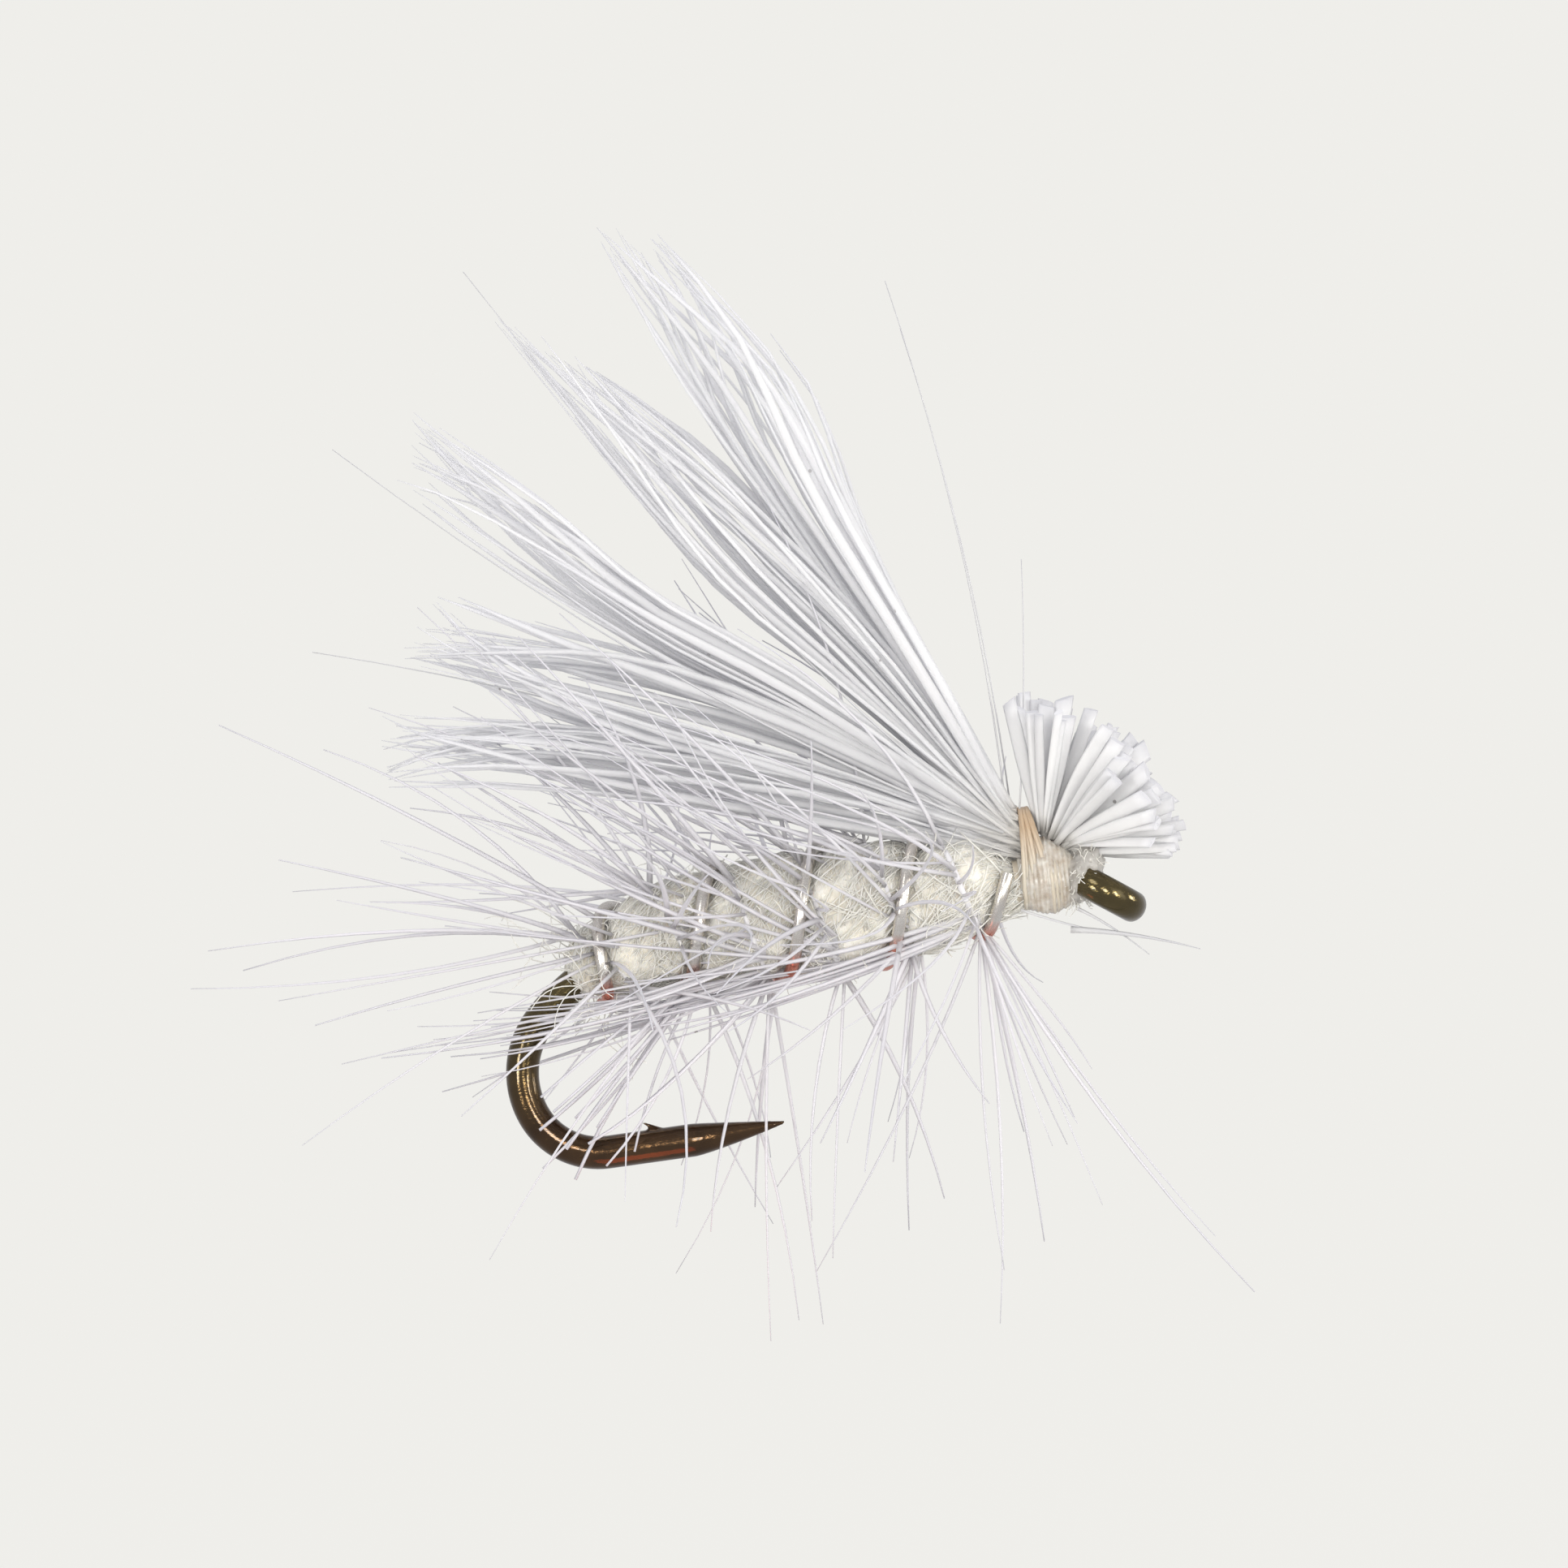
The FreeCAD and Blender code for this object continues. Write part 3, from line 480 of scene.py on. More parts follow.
def fur_finish():
    """Packed fur under the loose fibres: cream, with browner patches laid on by noise as painted shade of its
    folds.
    """
    finish = Finish("packed_fur")
    where = finish.place()
    colour = setting("fly_body", "fur")
    # The browner copy of the fur colour is painted shade for the folds, placed in patches by noise.
    fold_shade = tinted(colour, 0.62, 0.54, 0.40)
    clumps = finish.noise(where, 0.30, 4.0)
    fibres = finish.noise(finish.stretched(where, 3.2, 1.0, 1.0), 0.07, 3.0, 0.7)
    tone = finish.mix(clumps * 1.8 - 0.35, fold_shade, colour)
    finish.surface(Base_Color=finish.mix(fibres * 0.6, tone, (0.97, 0.96, 0.93)),
                   Roughness=0.42 + fibres * 0.25, Subsurface_Weight=0.35, Subsurface_Scale=0.0004,
                   Subsurface_Radius=(1.0, 0.85, 0.6), Sheen_Weight=0.3,
                   Normal=finish.bump(fibres + clumps * 2.0, 0.03))
    return finish.material


def fibre_finish():
    """Single glossy fibres of the dubbing."""
    finish = Finish("loose_fur")
    colour = setting("fly_body", "fur")
    pale = (0.97, 0.965, 0.95)
    shade = finish.along(1)
    streak = finish.noise(finish.place(), 0.15)
    finish.surface(Base_Color=finish.mix(shade * 0.8 + streak * 0.2, pale, colour),
                   Roughness=0.18 + streak * 0.15, Specular_IOR_Level=0.75)
    finish.glow_through(pale, 0.42)
    return finish.material


def thread_finish(name, colour):
    """Waxed thread: two-tone filaments running along each turn."""
    finish = Finish(name)
    where = finish.place()
    pale = [min(1.0, part * 1.45) for part in colour]
    blotch = finish.noise(where, 0.22)
    filament = finish.noise(finish.stretched(where, 4.0, 0.7, 0.7), 0.05)
    finish.surface(Base_Color=finish.mix(blotch * 0.6 + filament * 0.5, colour, pale),
                   Roughness=0.24 + filament * 0.25, Coat_Weight=0.35, Coat_Roughness=0.2,
                   Subsurface_Weight=0.15, Subsurface_Scale=0.0002, Subsurface_Radius=WAX_DEPTHS,
                   Normal=finish.bump(filament, 0.012))
    return finish.material


def collar_finish():
    """Thread stained by wax over the hair, paler where it runs down into the head."""
    finish = Finish("tan_thread")
    where = finish.place()
    filament = finish.noise(finish.stretched(where, 4.0, 0.7, 0.7), 0.05)
    low = (0.50, 0.45, 0.37)
    waxed = finish.mix(height(finish, where, 0.45, 1.15), low, setting("fly_thread", "tan"))
    finish.surface(Base_Color=finish.mix(filament * 0.45, waxed, (0.58, 0.52, 0.44)),
                   Roughness=0.3 + filament * 0.25, Coat_Weight=0.3, Coat_Roughness=0.25,
                   Subsurface_Weight=0.2, Subsurface_Scale=0.0002, Subsurface_Radius=WAX_DEPTHS,
                   Normal=finish.bump(filament, 0.012))
    return finish.material


def head_finish():
    """Glued thread: cream and half clear, with browner hollows and white bloom."""
    finish = Finish("glued_thread")
    where = finish.place()
    cloud = finish.noise(where, 0.26, 4.0, 0.7)
    bloom = finish.noise(where, 0.10, 3.0)
    cream = finish.mix(cloud * 2.2 - 0.6, (0.30, 0.23, 0.17), (0.50, 0.46, 0.40))
    finish.surface(Base_Color=finish.mix(bloom * 1.5 - 0.5, cream, (0.66, 0.66, 0.64)),
                   Roughness=0.22 + bloom * 0.3, Coat_Weight=0.5, Coat_Roughness=0.15,
                   Subsurface_Weight=0.35, Subsurface_Scale=0.0003, Subsurface_Radius=WAX_DEPTHS,
                   Normal=finish.bump(bloom, 0.02))
    return finish.material


def cement_finish():
    """Clear cement, dried cloudy and full of lint."""
    finish = Finish("head_cement")
    where = finish.place()
    cloud = finish.noise(where, 0.14, 4.0, 0.7)
    finish.surface(Base_Color=finish.mix(cloud, (0.58, 0.54, 0.50), (0.80, 0.79, 0.78)),
                   Roughness=0.16 + cloud * 0.3, Alpha=0.40 + cloud * 0.5, Coat_Weight=0.6, Coat_Roughness=0.08,
                   Normal=finish.bump(cloud, 0.03))
    finish.glow_through((0.85, 0.83, 0.80), 0.3)
    return finish.material


def stage_finish():
    """Pale seamless sheet that is lit evenly by itself as well as by the lamps."""
    finish = Finish("pale_sheet")
    colour = setting("fly_stage", "pale")
    grain = finish.noise(finish.place(), 6.0)
    finish.surface(Base_Color=finish.mix(grain * 0.1, tinted(colour, 0.010), tinted(colour, 0.014)),
                   Roughness=0.9, Specular_IOR_Level=0.0,
                   Emission_Color=(*colour, 1.0), Emission_Strength=0.985)
    return finish.material


# ---------------------------------------------------------------- making pieces


def clear_selection():
    if bpy.context.object and bpy.context.object.mode != "OBJECT":
        bpy.ops.object.mode_set(mode="OBJECT")
    bpy.ops.object.select_all(action="DESELECT")


def new_object(name, data):
    """An object in the scene that shows a mesh, a curve, a lamp or a camera."""
    item = bpy.data.objects.new(name, data)
    bpy.context.collection.objects.link(item)
    return item


def choose(piece):
    clear_selection()
    piece.select_set(True)
    bpy.context.view_layer.objects.active = piece


def settle(piece):
    """Apply a piece's place, turn and scale to its mesh."""
    choose(piece)
    bpy.ops.object.transform_apply(location=True, rotation=True, scale=True)


def finish_piece(piece, name, material, node):
    """Shrink a bench piece to metres, give it its finish and let it stand for its node."""
    settle(piece)
    piece.data.transform(Matrix.Scale(MM, 4))
    piece.name = name
    piece.data.name = name
    piece.data.materials.clear()
    piece.data.materials.append(material)
    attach(piece, BODY)
    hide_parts(node)


def tube(points, radius, radii=None, roundness=6, smooth=True):
    """A round tube along points, drawn as a curve with a bevel and made a mesh."""
    curve = bpy.data.curves.new("tube", "CURVE")
    curve.dimensions = "3D"
    curve.bevel_depth = radius
    curve.bevel_resolution = roundness
    curve.use_fill_caps = True
    spline = curve.splines.new("NURBS" if smooth else "POLY")
    spline.points.add(len(points) - 1)
    for index, point in enumerate(points):
        spline.points[index].co = (*point, 1.0)
        spline.points[index].radius = radii[index] if radii else 1.0
    if smooth:
        spline.order_u = 4
        spline.use_endpoint_u = True
        spline.resolution_u = 4
    choose(new_object("tube", curve))
    bpy.ops.object.convert(target="MESH")
    bpy.ops.object.shade_smooth()
    return bpy.context.object


def join(pieces):
    choose(pieces[0])
    for piece in pieces[1:]:
        piece.select_set(True)
    bpy.ops.object.join()
    return bpy.context.object


class Strand:
    """One fibre: points with a radius at each, its shade, how flat and turned it is, and its end's slant."""

    def __init__(self, points, radii, shade=0.0, flat=1.0, roll=0.0, slant=0.0):
        self.points = points
        self.radii = radii
        self.shade = shade
        self.flat = flat
        self.roll = roll
        self.slant = slant

    def rings(self, sides):
        """The corners of each section, carried along the line without twisting."""
        points = self.points
        ways = []
        for index in range(len(points)):
            step = points[min(index + 1, len(points) - 1)] - points[max(index - 1, 0)]
            ways.append(step.normalized())
        across = ways[0].cross(Vector((0.0, 1.0, 0.013))).normalized()
        across = Matrix.Rotation(self.roll, 3, ways[0]) @ across
        rings = []
        for point, radius, way in zip(points, self.radii, ways):
            across = (across - way * across.dot(way)).normalized()
            other = way.cross(across)
            ring = []
            for side in range(sides):
                angle = math.tau * side / sides
                spoke = across * math.cos(angle) + other * (math.sin(angle) * self.flat)
                ring.append(point + spoke * radius)
            rings.append(ring)
        rings[-1] = [corner + way * (self.slant * math.cos(math.tau * side / sides))
                     for side, corner in enumerate(rings[-1])]
        return rings


def strand_piece(strands, sides):
    """One mesh of many closed fibres. UV x runs along a fibre and UV y is its shade."""
    corners = []
    faces = []
    places = []
    smooth = []
    for strand in strands:
        rings = strand.rings(sides)
        last = len(rings) - 1
        start = len(corners)
        for ring in rings:
            corners.extend(ring)
        for index in range(last):
            low = index / last
            high = (index + 1) / last
            for side in range(sides):
                after = (side + 1) % sides
                here = start + index * sides
                there = here + sides
                faces.append((here + side, here + after, there + after, there + side))
                places.extend([(low, strand.shade)] * 2 + [(high, strand.shade)] * 2)
                smooth.append(True)
        faces.append(tuple(start + side for side in reversed(range(sides))))
        faces.append(tuple(start + last * sides + side for side in range(sides)))
        places.extend([(0.0, strand.shade)] * sides + [(1.0, strand.shade)] * sides)
        smooth.extend((False, False))
    mesh = bpy.data.meshes.new("strands")
    mesh.from_pydata([tuple(corner) for corner in corners], [], faces)
    layer = mesh.uv_layers.new(name="UVMap")
    layer.data.foreach_set("uv", [part for place in places for part in place])
    mesh.polygons.foreach_set("use_smooth", smooth)
    mesh.update()
    return new_object("strands", mesh)


def shares(count):
    """Evenly spaced shares of the way, from 0 to 1."""
    return [index / (count - 1) for index in range(count)]


def through(points, share):
    """A point at a share of the way along a smooth line through given points."""
    last = len(points) - 1
    place = min(max(share, 0.0), 1.0) * last
    index = min(int(place), last - 1)
    local = place - index
    before = points[max(index - 1, 0)]
    here = points[index]
    there = points[index + 1]
    after = points[min(index + 2, last)]
    return 0.5 * (2 * here + (there - before) * local
                  + (2 * before - 5 * here + 4 * there - after) * local ** 2
                  + (3 * here - before - 3 * there + after) * local ** 3)


def bowed(root, tip, bow, count):
    """Points of a fibre from root to tip that bows sideways by a vector at its middle."""
    return [root.lerp(tip, share) + bow * (4 * share * (1 - share)) for share in shares(count)]


def taper(count, root, tip, power=1.0):
    """Radii that fall from root to tip."""
    return [root + (tip - root) * share ** power for share in shares(count)]


# ---------------------------------------------------------------- hook


# How much thicker the forged bend is than the shank, where along the wire's points the swell starts, and over
# how many points it grows; the relative radius of the sharp end; how deep the eye ring is for its width.
FORGED = 0.13
SWELL_START = 20
SWELL_STEPS = 14
SHARP_END = 0.10
RING_DEPTH = 1.2
# The skin over the joined wire, ring and barb: its fineness and how often it is smoothed.
SKIN_VOXEL = 0.026
SKIN_SMOOTHINGS = 4


def run_straight(points, place, turn, length, steps):
    """Add the wire's points along a straight stretch and return where it ends."""
    way = Vector((-math.cos(turn), 0, -math.sin(turn))) * length
    points.extend(place + way * step / steps for step in range(steps))
    return place + way


def run_round(points, place, turn, sweep, radius, steps=28):
    """Add the wire's points round an arc and return where it ends."""
    arc = []
    for step in range(steps + 1):
        after = turn + sweep * step / steps
        way = Vector((math.sin(turn) - math.sin(after), 0, math.cos(after) - math.cos(turn)))
        arc.append(place + way * radius)
    points.extend(arc[:-1])
    return arc[-1]


def hook_line():
    """Points and relative radii of the wire from the eye ring to the sharp end, and where the point starts."""
    points = []
    turn = 0.0
    place = Vector((ring_back(), 0, shank_height()))
    place = run_straight(points, place, turn, bench("fly_hook", "shank_length"), 24)
    for part in ("entry", "heel", "throat"):
        sweep = setting("fly_hook", f"{part}_turn")
        place = run_round(points, place, turn, sweep, bench("fly_hook", f"{part}_radius"))
        turn += sweep
    place = run_straight(points, place, turn, bench("fly_hook", "spear_length"), 8)
    radii = [1.0 + FORGED * min(1.0, max(0, index - SWELL_START) / SWELL_STEPS) for index in range(len(points))]
    way = Vector((-math.cos(turn), 0, -math.sin(turn))) * bench("fly_hook", "point_length")
    lift = bench("fly_hook", "point_lift")
    for share in shares(13):
        points.append(place + way * share + Vector((0, 0, lift * share ** 1.3)))
        radii.append(1.0 + FORGED - (1.0 + FORGED - SHARP_END) * share ** 1.15)
    return points, radii, place


def shape_barb(root):
    """The cut barb: a wedge drawn up and back from the wire."""
    radius = bench("fly_hook", "wire_diameter") / 2
    start = root + Vector((-bench("fly_hook", "barb_setback"), 0, radius * 0.55))
    back = bench("fly_hook", "barb_setback") + bench("fly_hook", "barb_length")
    tip = root + Vector((-back, 0, radius + bench("fly_hook", "barb_height")))
    clear_selection()
    bpy.ops.mesh.primitive_cone_add(vertices=12, radius1=0.12, radius2=0.018, depth=1.0)
    barb = bpy.context.object
    way = tip - start
    barb.scale = (1.0, 0.62, way.length)
    barb.rotation_euler = way.to_track_quat("Z", "Y").to_euler()
    barb.location = (start + tip) / 2
    settle(barb)
    return barb


def make_hook():
    """The bronzed hook: wire, eye ring and barb merged into one skin."""
    radius = bench("fly_hook", "wire_diameter") / 2
    points, radii, spear_end = hook_line()
    wire = tube(points, radius, radii, roundness=8, smooth=False)
    clear_selection()
    bpy.ops.mesh.primitive_torus_add(major_radius=bench("fly_hook", "ring_radius"),
                                     minor_radius=bench("fly_hook", "ring_wire") / 2,
                                     major_segments=96, minor_segments=32,
                                     rotation=(0, setting("fly_hook", "eye_angle"), 0))
    ring = bpy.context.object
    ring.scale = (1.0, 1.0, RING_DEPTH)
    settle(ring)
    hook = join([wire, ring, shape_barb(spear_end)])
    skin = hook.modifiers.new("skin", "REMESH")
    skin.mode = "VOXEL"
    skin.voxel_size = SKIN_VOXEL
    skin.use_smooth_shade = True
    relax = hook.modifiers.new("relax", "SMOOTH")
    relax.factor = 0.5
    relax.iterations = SKIN_SMOOTHINGS
    for modifier in ("skin", "relax"):
        bpy.ops.object.modifier_apply(modifier=modifier)
    finish_piece(hook, "hook_wire", bronze_finish(), "hook")


# ---------------------------------------------------------------- body


def lengthened_tube(sides, cuts):
    """A closed upright tube of unit radius, its side cut into rings, ready to be shaped."""
    clear_selection()
    bpy.ops.mesh.primitive_cylinder_add(vertices=sides, radius=1.0, depth=2.0, end_fill_type="TRIFAN")
    blank = bpy.context.object
    bpy.ops.object.mode_set(mode="EDIT")
    bpy.ops.mesh.select_mode(type="EDGE")
    bpy.ops.mesh.select_all(action="DESELECT")
    bpy.ops.object.mode_set(mode="OBJECT")
    for edge in blank.data.edges:
        ends = [blank.data.vertices[index].co for index in edge.vertices]
        edge.select = abs(ends[0].z - ends[1].z) > 1.0
    bpy.ops.object.mode_set(mode="EDIT")
    bpy.ops.mesh.subdivide(number_cuts=cuts)
    bpy.ops.object.mode_set(mode="OBJECT")
    return blank


def shape_tube(blank, place_at):
    """Move each corner to where place_at puts it, from its share along, its angle and its share outward."""
    for corner in blank.data.vertices:
        share = (corner.co.z + 1) / 2
        angle = math.atan2(corner.co.x, corner.co.y)
        outward = min(1.0, math.hypot(corner.co.x, corner.co.y))
        corner.co = place_at(share, angle, outward)
    choose(blank)
    bpy.ops.object.mode_set(mode="EDIT")
    bpy.ops.mesh.select_all(action="SELECT")
    bpy.ops.mesh.normals_make_consistent(inside=False)
    bpy.ops.object.mode_set(mode="OBJECT")
    bpy.ops.object.shade_smooth()


def dubbing_place(share, angle, outward):
    """A corner of the dubbing: bulged between the turns of the rib, tufted, and rounded at both ends."""
    station = body_front() + (body_rear() - body_front()) * share
    radius = pulled_radius(station, angle)
    place = around(station, angle, radius)
    tuft = noise.fractal(Vector((station * 1.6, place.y * 2.4, place.z * 2.4)), 0.7, 2.0, 4)
    strandy = noise.noise(Vector((station * 9.0, angle * 1.2, 3.0)))
    return around(station, angle, (radius + 0.045 * tuft + 0.02 * strandy) * outward)


def make_dubbing():
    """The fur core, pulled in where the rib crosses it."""
    core = lengthened_tube(96, 190)
    shape_tube(core, dubbing_place)
    finish_piece(core, "dubbing_core", fur_finish(), "dubbed_body")


def wound_fibre(dice):
    """A fibre that lies round the body the way the fur was wound, with one end lifting."""
    station = dice.uniform(body_front(), body_rear())
    angle = dice.uniform(0, math.tau)
    sweep = dice.uniform(0.25, 1.3)
    slant = dice.gauss(0.40, 0.60)
    lift = dice.uniform(0.0, 0.05) if dice.random() < 0.88 else dice.uniform(0.08, 0.30)
    wave = dice.uniform(0, math.tau)
    points = []
    for share in shares(7):
        here = min(max(station - slant * share + 0.03 * math.sin(wave + 5 * share), 0.8), body_rear() + 0.05)
        turn = angle + sweep * share
        radius = pulled_radius(here, turn) + 0.012 + lift * share ** 1.6
        points.append(around(here, turn, radius))
    thick = dice.uniform(0.008, 0.014) if dice.random() < 0.6 else dice.uniform(0.015, 0.026)
    return Strand(points, taper(7, thick, thick * 0.5), dice.random())


def curl_fibre(dice, station, reach):
    """A loose curly fibre that stands off the fur."""
    angle = dice.uniform(0, math.tau)
    root = around(station, angle, body_radius(station))
    stray = Vector((dice.uniform(-1.1, 0.2), dice.uniform(-0.5, 0.5), dice.uniform(-0.6, 0.4)))
    way = (outward_at(station, angle) + stray).normalized()
    side = way.cross(Vector((dice.uniform(-1, 1), 1, dice.uniform(-1, 1)))).normalized()
    other = way.cross(side)
    coil = dice.uniform(0.06, 0.28) * reach
    turns = dice.uniform(0.5, 1.3) * math.tau
    points = []
    for share in shares(12):
        spin = turns * share
        curl = side * coil * (math.cos(spin) - 1) + other * coil * math.sin(spin)
        points.append(root + way * reach * share + curl)
    return Strand(points, taper(12, 0.013, 0.007), dice.random())


def make_fibres():
    """Loose fibres over the fur: most wound flat, some standing off, a few long curls over the bend."""
    dice = random.Random(41)
    strands = [wound_fibre(dice) for _ in range(setting("fly_body", "fibre_count"))]
    front = bench("fly_body", "front_station")
    for _ in range(80):
        strands.append(curl_fibre(dice, dice.uniform(front, body_rear()), dice.uniform(0.15, 0.6)))
    for _ in range(44):
        strands.append(curl_fibre(dice, body_rear() - dice.uniform(0.0, 0.5), dice.uniform(0.5, 1.4)))
    piece = strand_piece(strands, 3)
    finish_piece(piece, "dubbing_fibres", fibre_finish(), "dubbed_body")


# The rib looks heavier than its wire, and lies on the fur: its weight in wires, and its lift in its own radii.
RIB_WEIGHT = 1.35
RIB_LIFT = 2.3


def make_rib():
    """Silver wire wound over the fur, its last turn caught down behind the collar."""
    radius = bench("fly_body", "rib_diameter") / 2 * RIB_WEIGHT
    front = bench("fly_body", "front_station") + 0.10
    end = (rib_start() - front) / bench("fly_body", "rib_pitch") * math.tau
    points = []
    for share in shares(round(end / math.tau * 28) + 1):
        angle = end * share
        station = rib_station(angle)
        points.append(around(station, angle, pulled_radius(station, angle) + radius * RIB_LIFT))
    finish_piece(tube(points, radius, roundness=6), "rib_winding", silver_finish(), "rib_wire")


def quill_place(share):
    """Station and angle of the quill at a share of its way forward: it winds against the rib."""
    rear = body_rear() - 0.30
    front = bench("fly_body", "front_station") + 0.055
    return rear + (front - rear) * share, math.radians(200) - math.tau * HACKLE_TURNS * share


def make_quill():
    """The feather's stripped quill, pressed into the fur."""
    radius = bench("fly_body", "quill_diameter") / 2
    points = []
    for share in shares(145):
        station, angle = quill_place(share)
        points.append(around(station, angle, pulled_radius(station, angle) + radius * 0.1))
    quill = tube(points, radius, taper(145, 0.55, 1.0), roundness=4)
    finish = hair_finish("quill", setting("fly_hackle", "white"), 0.2, 0.0, 9.0)
    finish_piece(quill, "quill_winding", finish, "hackle_quill")


# ---------------------------------------------------------------- hackle


# Barbs that show most: the turn they stand on, how far round it, and where their tips end, in millimetres.
LEADING_BARBS = (
    (3, 20, (-11.75, -1.3, -0.95)), (3, 30, (-11.10, -2.0, -0.92)), (3, -15, (-10.46, 1.2, -1.67)),
    (3, 12, (-6.62, -1.0, -4.23)), (3, 4, (-5.96, -0.4, -6.04)), (3, -12, (-5.15, 1.2, -6.03)),
    (4, 8, (-5.09, -0.8, -4.30)), (4, -6, (-3.04, 0.7, -4.34)), (6, 2, (-2.48, -0.2, -6.28)),
    (6, 10, (-2.32, -0.9, -5.43)), (6, -8, (-1.61, 0.9, -5.22)), (6, 4, (-1.33, -0.5, -3.70)),
    (6, 9, (-0.72, -0.9, -4.66)), (6, 16, (0.87, -1.5, -5.32)), (6, 22, (1.31, -1.9, -6.19)),
    (1, 150, (-12.85, -1.5, 4.34)), (1, 120, (-10.65, -2.2, 2.28)), (1, 100, (-11.38, -2.8, 1.51)),
    (2, 95, (-12.57, -1.2, 0.12)), (2, 140, (-9.34, -1.6, 5.60)), (3, 150, (-8.60, -2.0, 5.10)),
    (2, 130, (-10.10, -1.9, 3.60)), (4, 140, (-8.00, -2.4, 4.40)), (5, 130, (-7.30, -2.6, 3.60)),
    (4, 46, (-8.50, -2.1, 3.20)), (4, 52, (-9.30, -2.0, 2.40)), (4, 58, (-7.60, -2.4, 4.00)),
    (4, 40, (-10.20, -1.7, 1.60)), (4, 62, (-6.90, -2.6, 4.50)), (4, 34, (-9.90, -1.9, 0.90)),
    (4, 55, (-8.90, -2.5, 3.90)), (4, 66, (-6.10, -2.8, 3.70)), (5, 60, (-7.20, -2.7, 3.10)),
    (5, 66, (-6.30, -2.9, 3.90)), (3, 60, (-9.80, -2.2, 3.00)), (3, 52, (-10.40, -2.0, 2.00)),
    (5, 10, (-3.75, -0.6, -3.60)), (5, 16, (-4.40, -0.9, -3.20)), (6, 12, (-0.95, -0.8, -3.30)),
    (6, 18, (-0.60, -1.2, -2.60)), (6, -14, (-1.05, 1.0, -3.80)), (5, 20, (-2.20, -1.1, -2.90)),
)
# Barbs whose fine tips are broken off, written in the same way.
BROKEN_BARBS = (
    (2, 10, (-9.00, -0.8, -2.95)), (2, 16, (-8.60, -1.0, -2.70)), (2, 22, (-8.95, -1.2, -2.35)),
    (2, 6, (-8.55, -0.5, -3.20)), (2, 14, (-8.10, -0.9, -2.45)), (2, 18, (-8.40, -1.1, -2.25)),
    (2, 12, (-8.05, -0.7, -3.05)), (2, 26, (-8.70, -1.4, -2.10)), (2, 8, (-7.60, -0.6, -2.90)),
    (2, 30, (-8.85, -1.5, -1.85)), (3, 24, (-8.25, -1.3, -2.65)), (3, 8, (-7.50, -0.9, -2.30)),
)


# Radius of a barb's end, where it is whole and where it is broken.
FINE_END = 0.009
BROKEN_END = 0.024


def barb_strand(dice, root, tip, bow, end=FINE_END):
    """One hackle barb: stiff, glossy and drawn to a fine tip unless that is broken off."""
    count = 9
    thick = bench("fly_hackle", "barb_diameter") / 2 * dice.uniform(0.7, 1.15)
    return Strand(bowed(root, tip, bow, count), taper(count, thick, end, 1.5), dice.random(), 0.7,
                  dice.uniform(0, math.pi))


def barb_root(number, angle):
    """Where a barb stands on the middle of a turn, at an angle round the body."""
    station, _ = quill_place((number - 0.5) / HACKLE_TURNS)
    return around(station, angle, pulled_radius(station, angle) + 0.03)


def wrap_barbs(number, dice):
    """The barbs of one turn, all round the body and swept back, most of all above it."""
    strands = []
    count = setting("fly_hackle", "barbs_per_wrap")
    for index in range(count):
        share = (number - 1 + (index + dice.random()) / count) / HACKLE_TURNS
        station, angle = quill_place(share)
        root = around(station, angle, pulled_radius(station, angle) + 0.04)
        _, normal, backward = axis_at(station)
        outward = outward_at(station, angle)
        above = max(0.0, outward.dot(normal))
        thinned = 0.72 if number < 5 else 0.5
        if outward.dot(normal) < -0.3 and dice.random() < thinned:
            continue
        sweep = math.radians(dice.gauss(16, 20) + 34 * above)
        direction = outward * math.cos(sweep) + backward * math.sin(sweep)
        direction = (direction + Vector((0, dice.gauss(0, 0.10), dice.gauss(0, 0.08)))).normalized()
        length = bench("fly_hackle", "reach") * dice.uniform(0.50, 0.95)
        bow = (backward * dice.uniform(-0.08, 0.03) + normal * dice.uniform(-0.04, 0.04)) * length
        strands.append(barb_strand(dice, root, root + direction * length, bow))
    for barbs, end in ((LEADING_BARBS, FINE_END), (BROKEN_BARBS, BROKEN_END)):
        for degrees, tip in [barb[1:] for barb in barbs if barb[0] == number]:
            bow = Vector((dice.uniform(-0.2, 0.2), 0, dice.uniform(-0.25, 0.1)))
            strands.append(barb_strand(dice, barb_root(number, math.radians(degrees)), Vector(tip), bow, end))
    return strands


def stream_barbs(dice, number, count, spread):
    """Barbs laid back along the underside of the body by the rib."""
    strands = []
    rear = body_rear()
    for _ in range(count):
        angle = math.radians(dice.uniform(8, 62))
        root = barb_root(number, angle)
        far = quill_place((number - 0.5) / HACKLE_TURNS)[0] + dice.uniform(3.6, 6.4)
        last = min(far, rear)
        low = around(last, angle * dice.uniform(0.4, 1.1), body_radius(last) + 0.1)
        tip = low + Vector((-max(0.0, far - rear), dice.gauss(-0.2, 0.3), dice.gauss(-0.15, spread)))
        strands.append(barb_strand(dice, root, tip, Vector((0, -0.12, dice.uniform(-0.30, -0.02)))))
    return strands


def make_hackle():
    """The barbs of the turns, each turn a piece of its own."""
    finish = hair_finish("hackle_barbs", setting("fly_hackle", "white"), 0.46, 0.0, 1.3)
    for number in range(1, HACKLE_TURNS + 1):
        dice = random.Random(300 + number)
        strands = wrap_barbs(number, dice)
        if number in (3, 6):
            strands += stream_barbs(dice, number, 19, 0.25)
        piece = strand_piece(strands, 4)
        finish_piece(piece, f"hackle_turn_{number}", finish, f"hackle_barbs_{number}")


# ---------------------------------------------------------------- wing


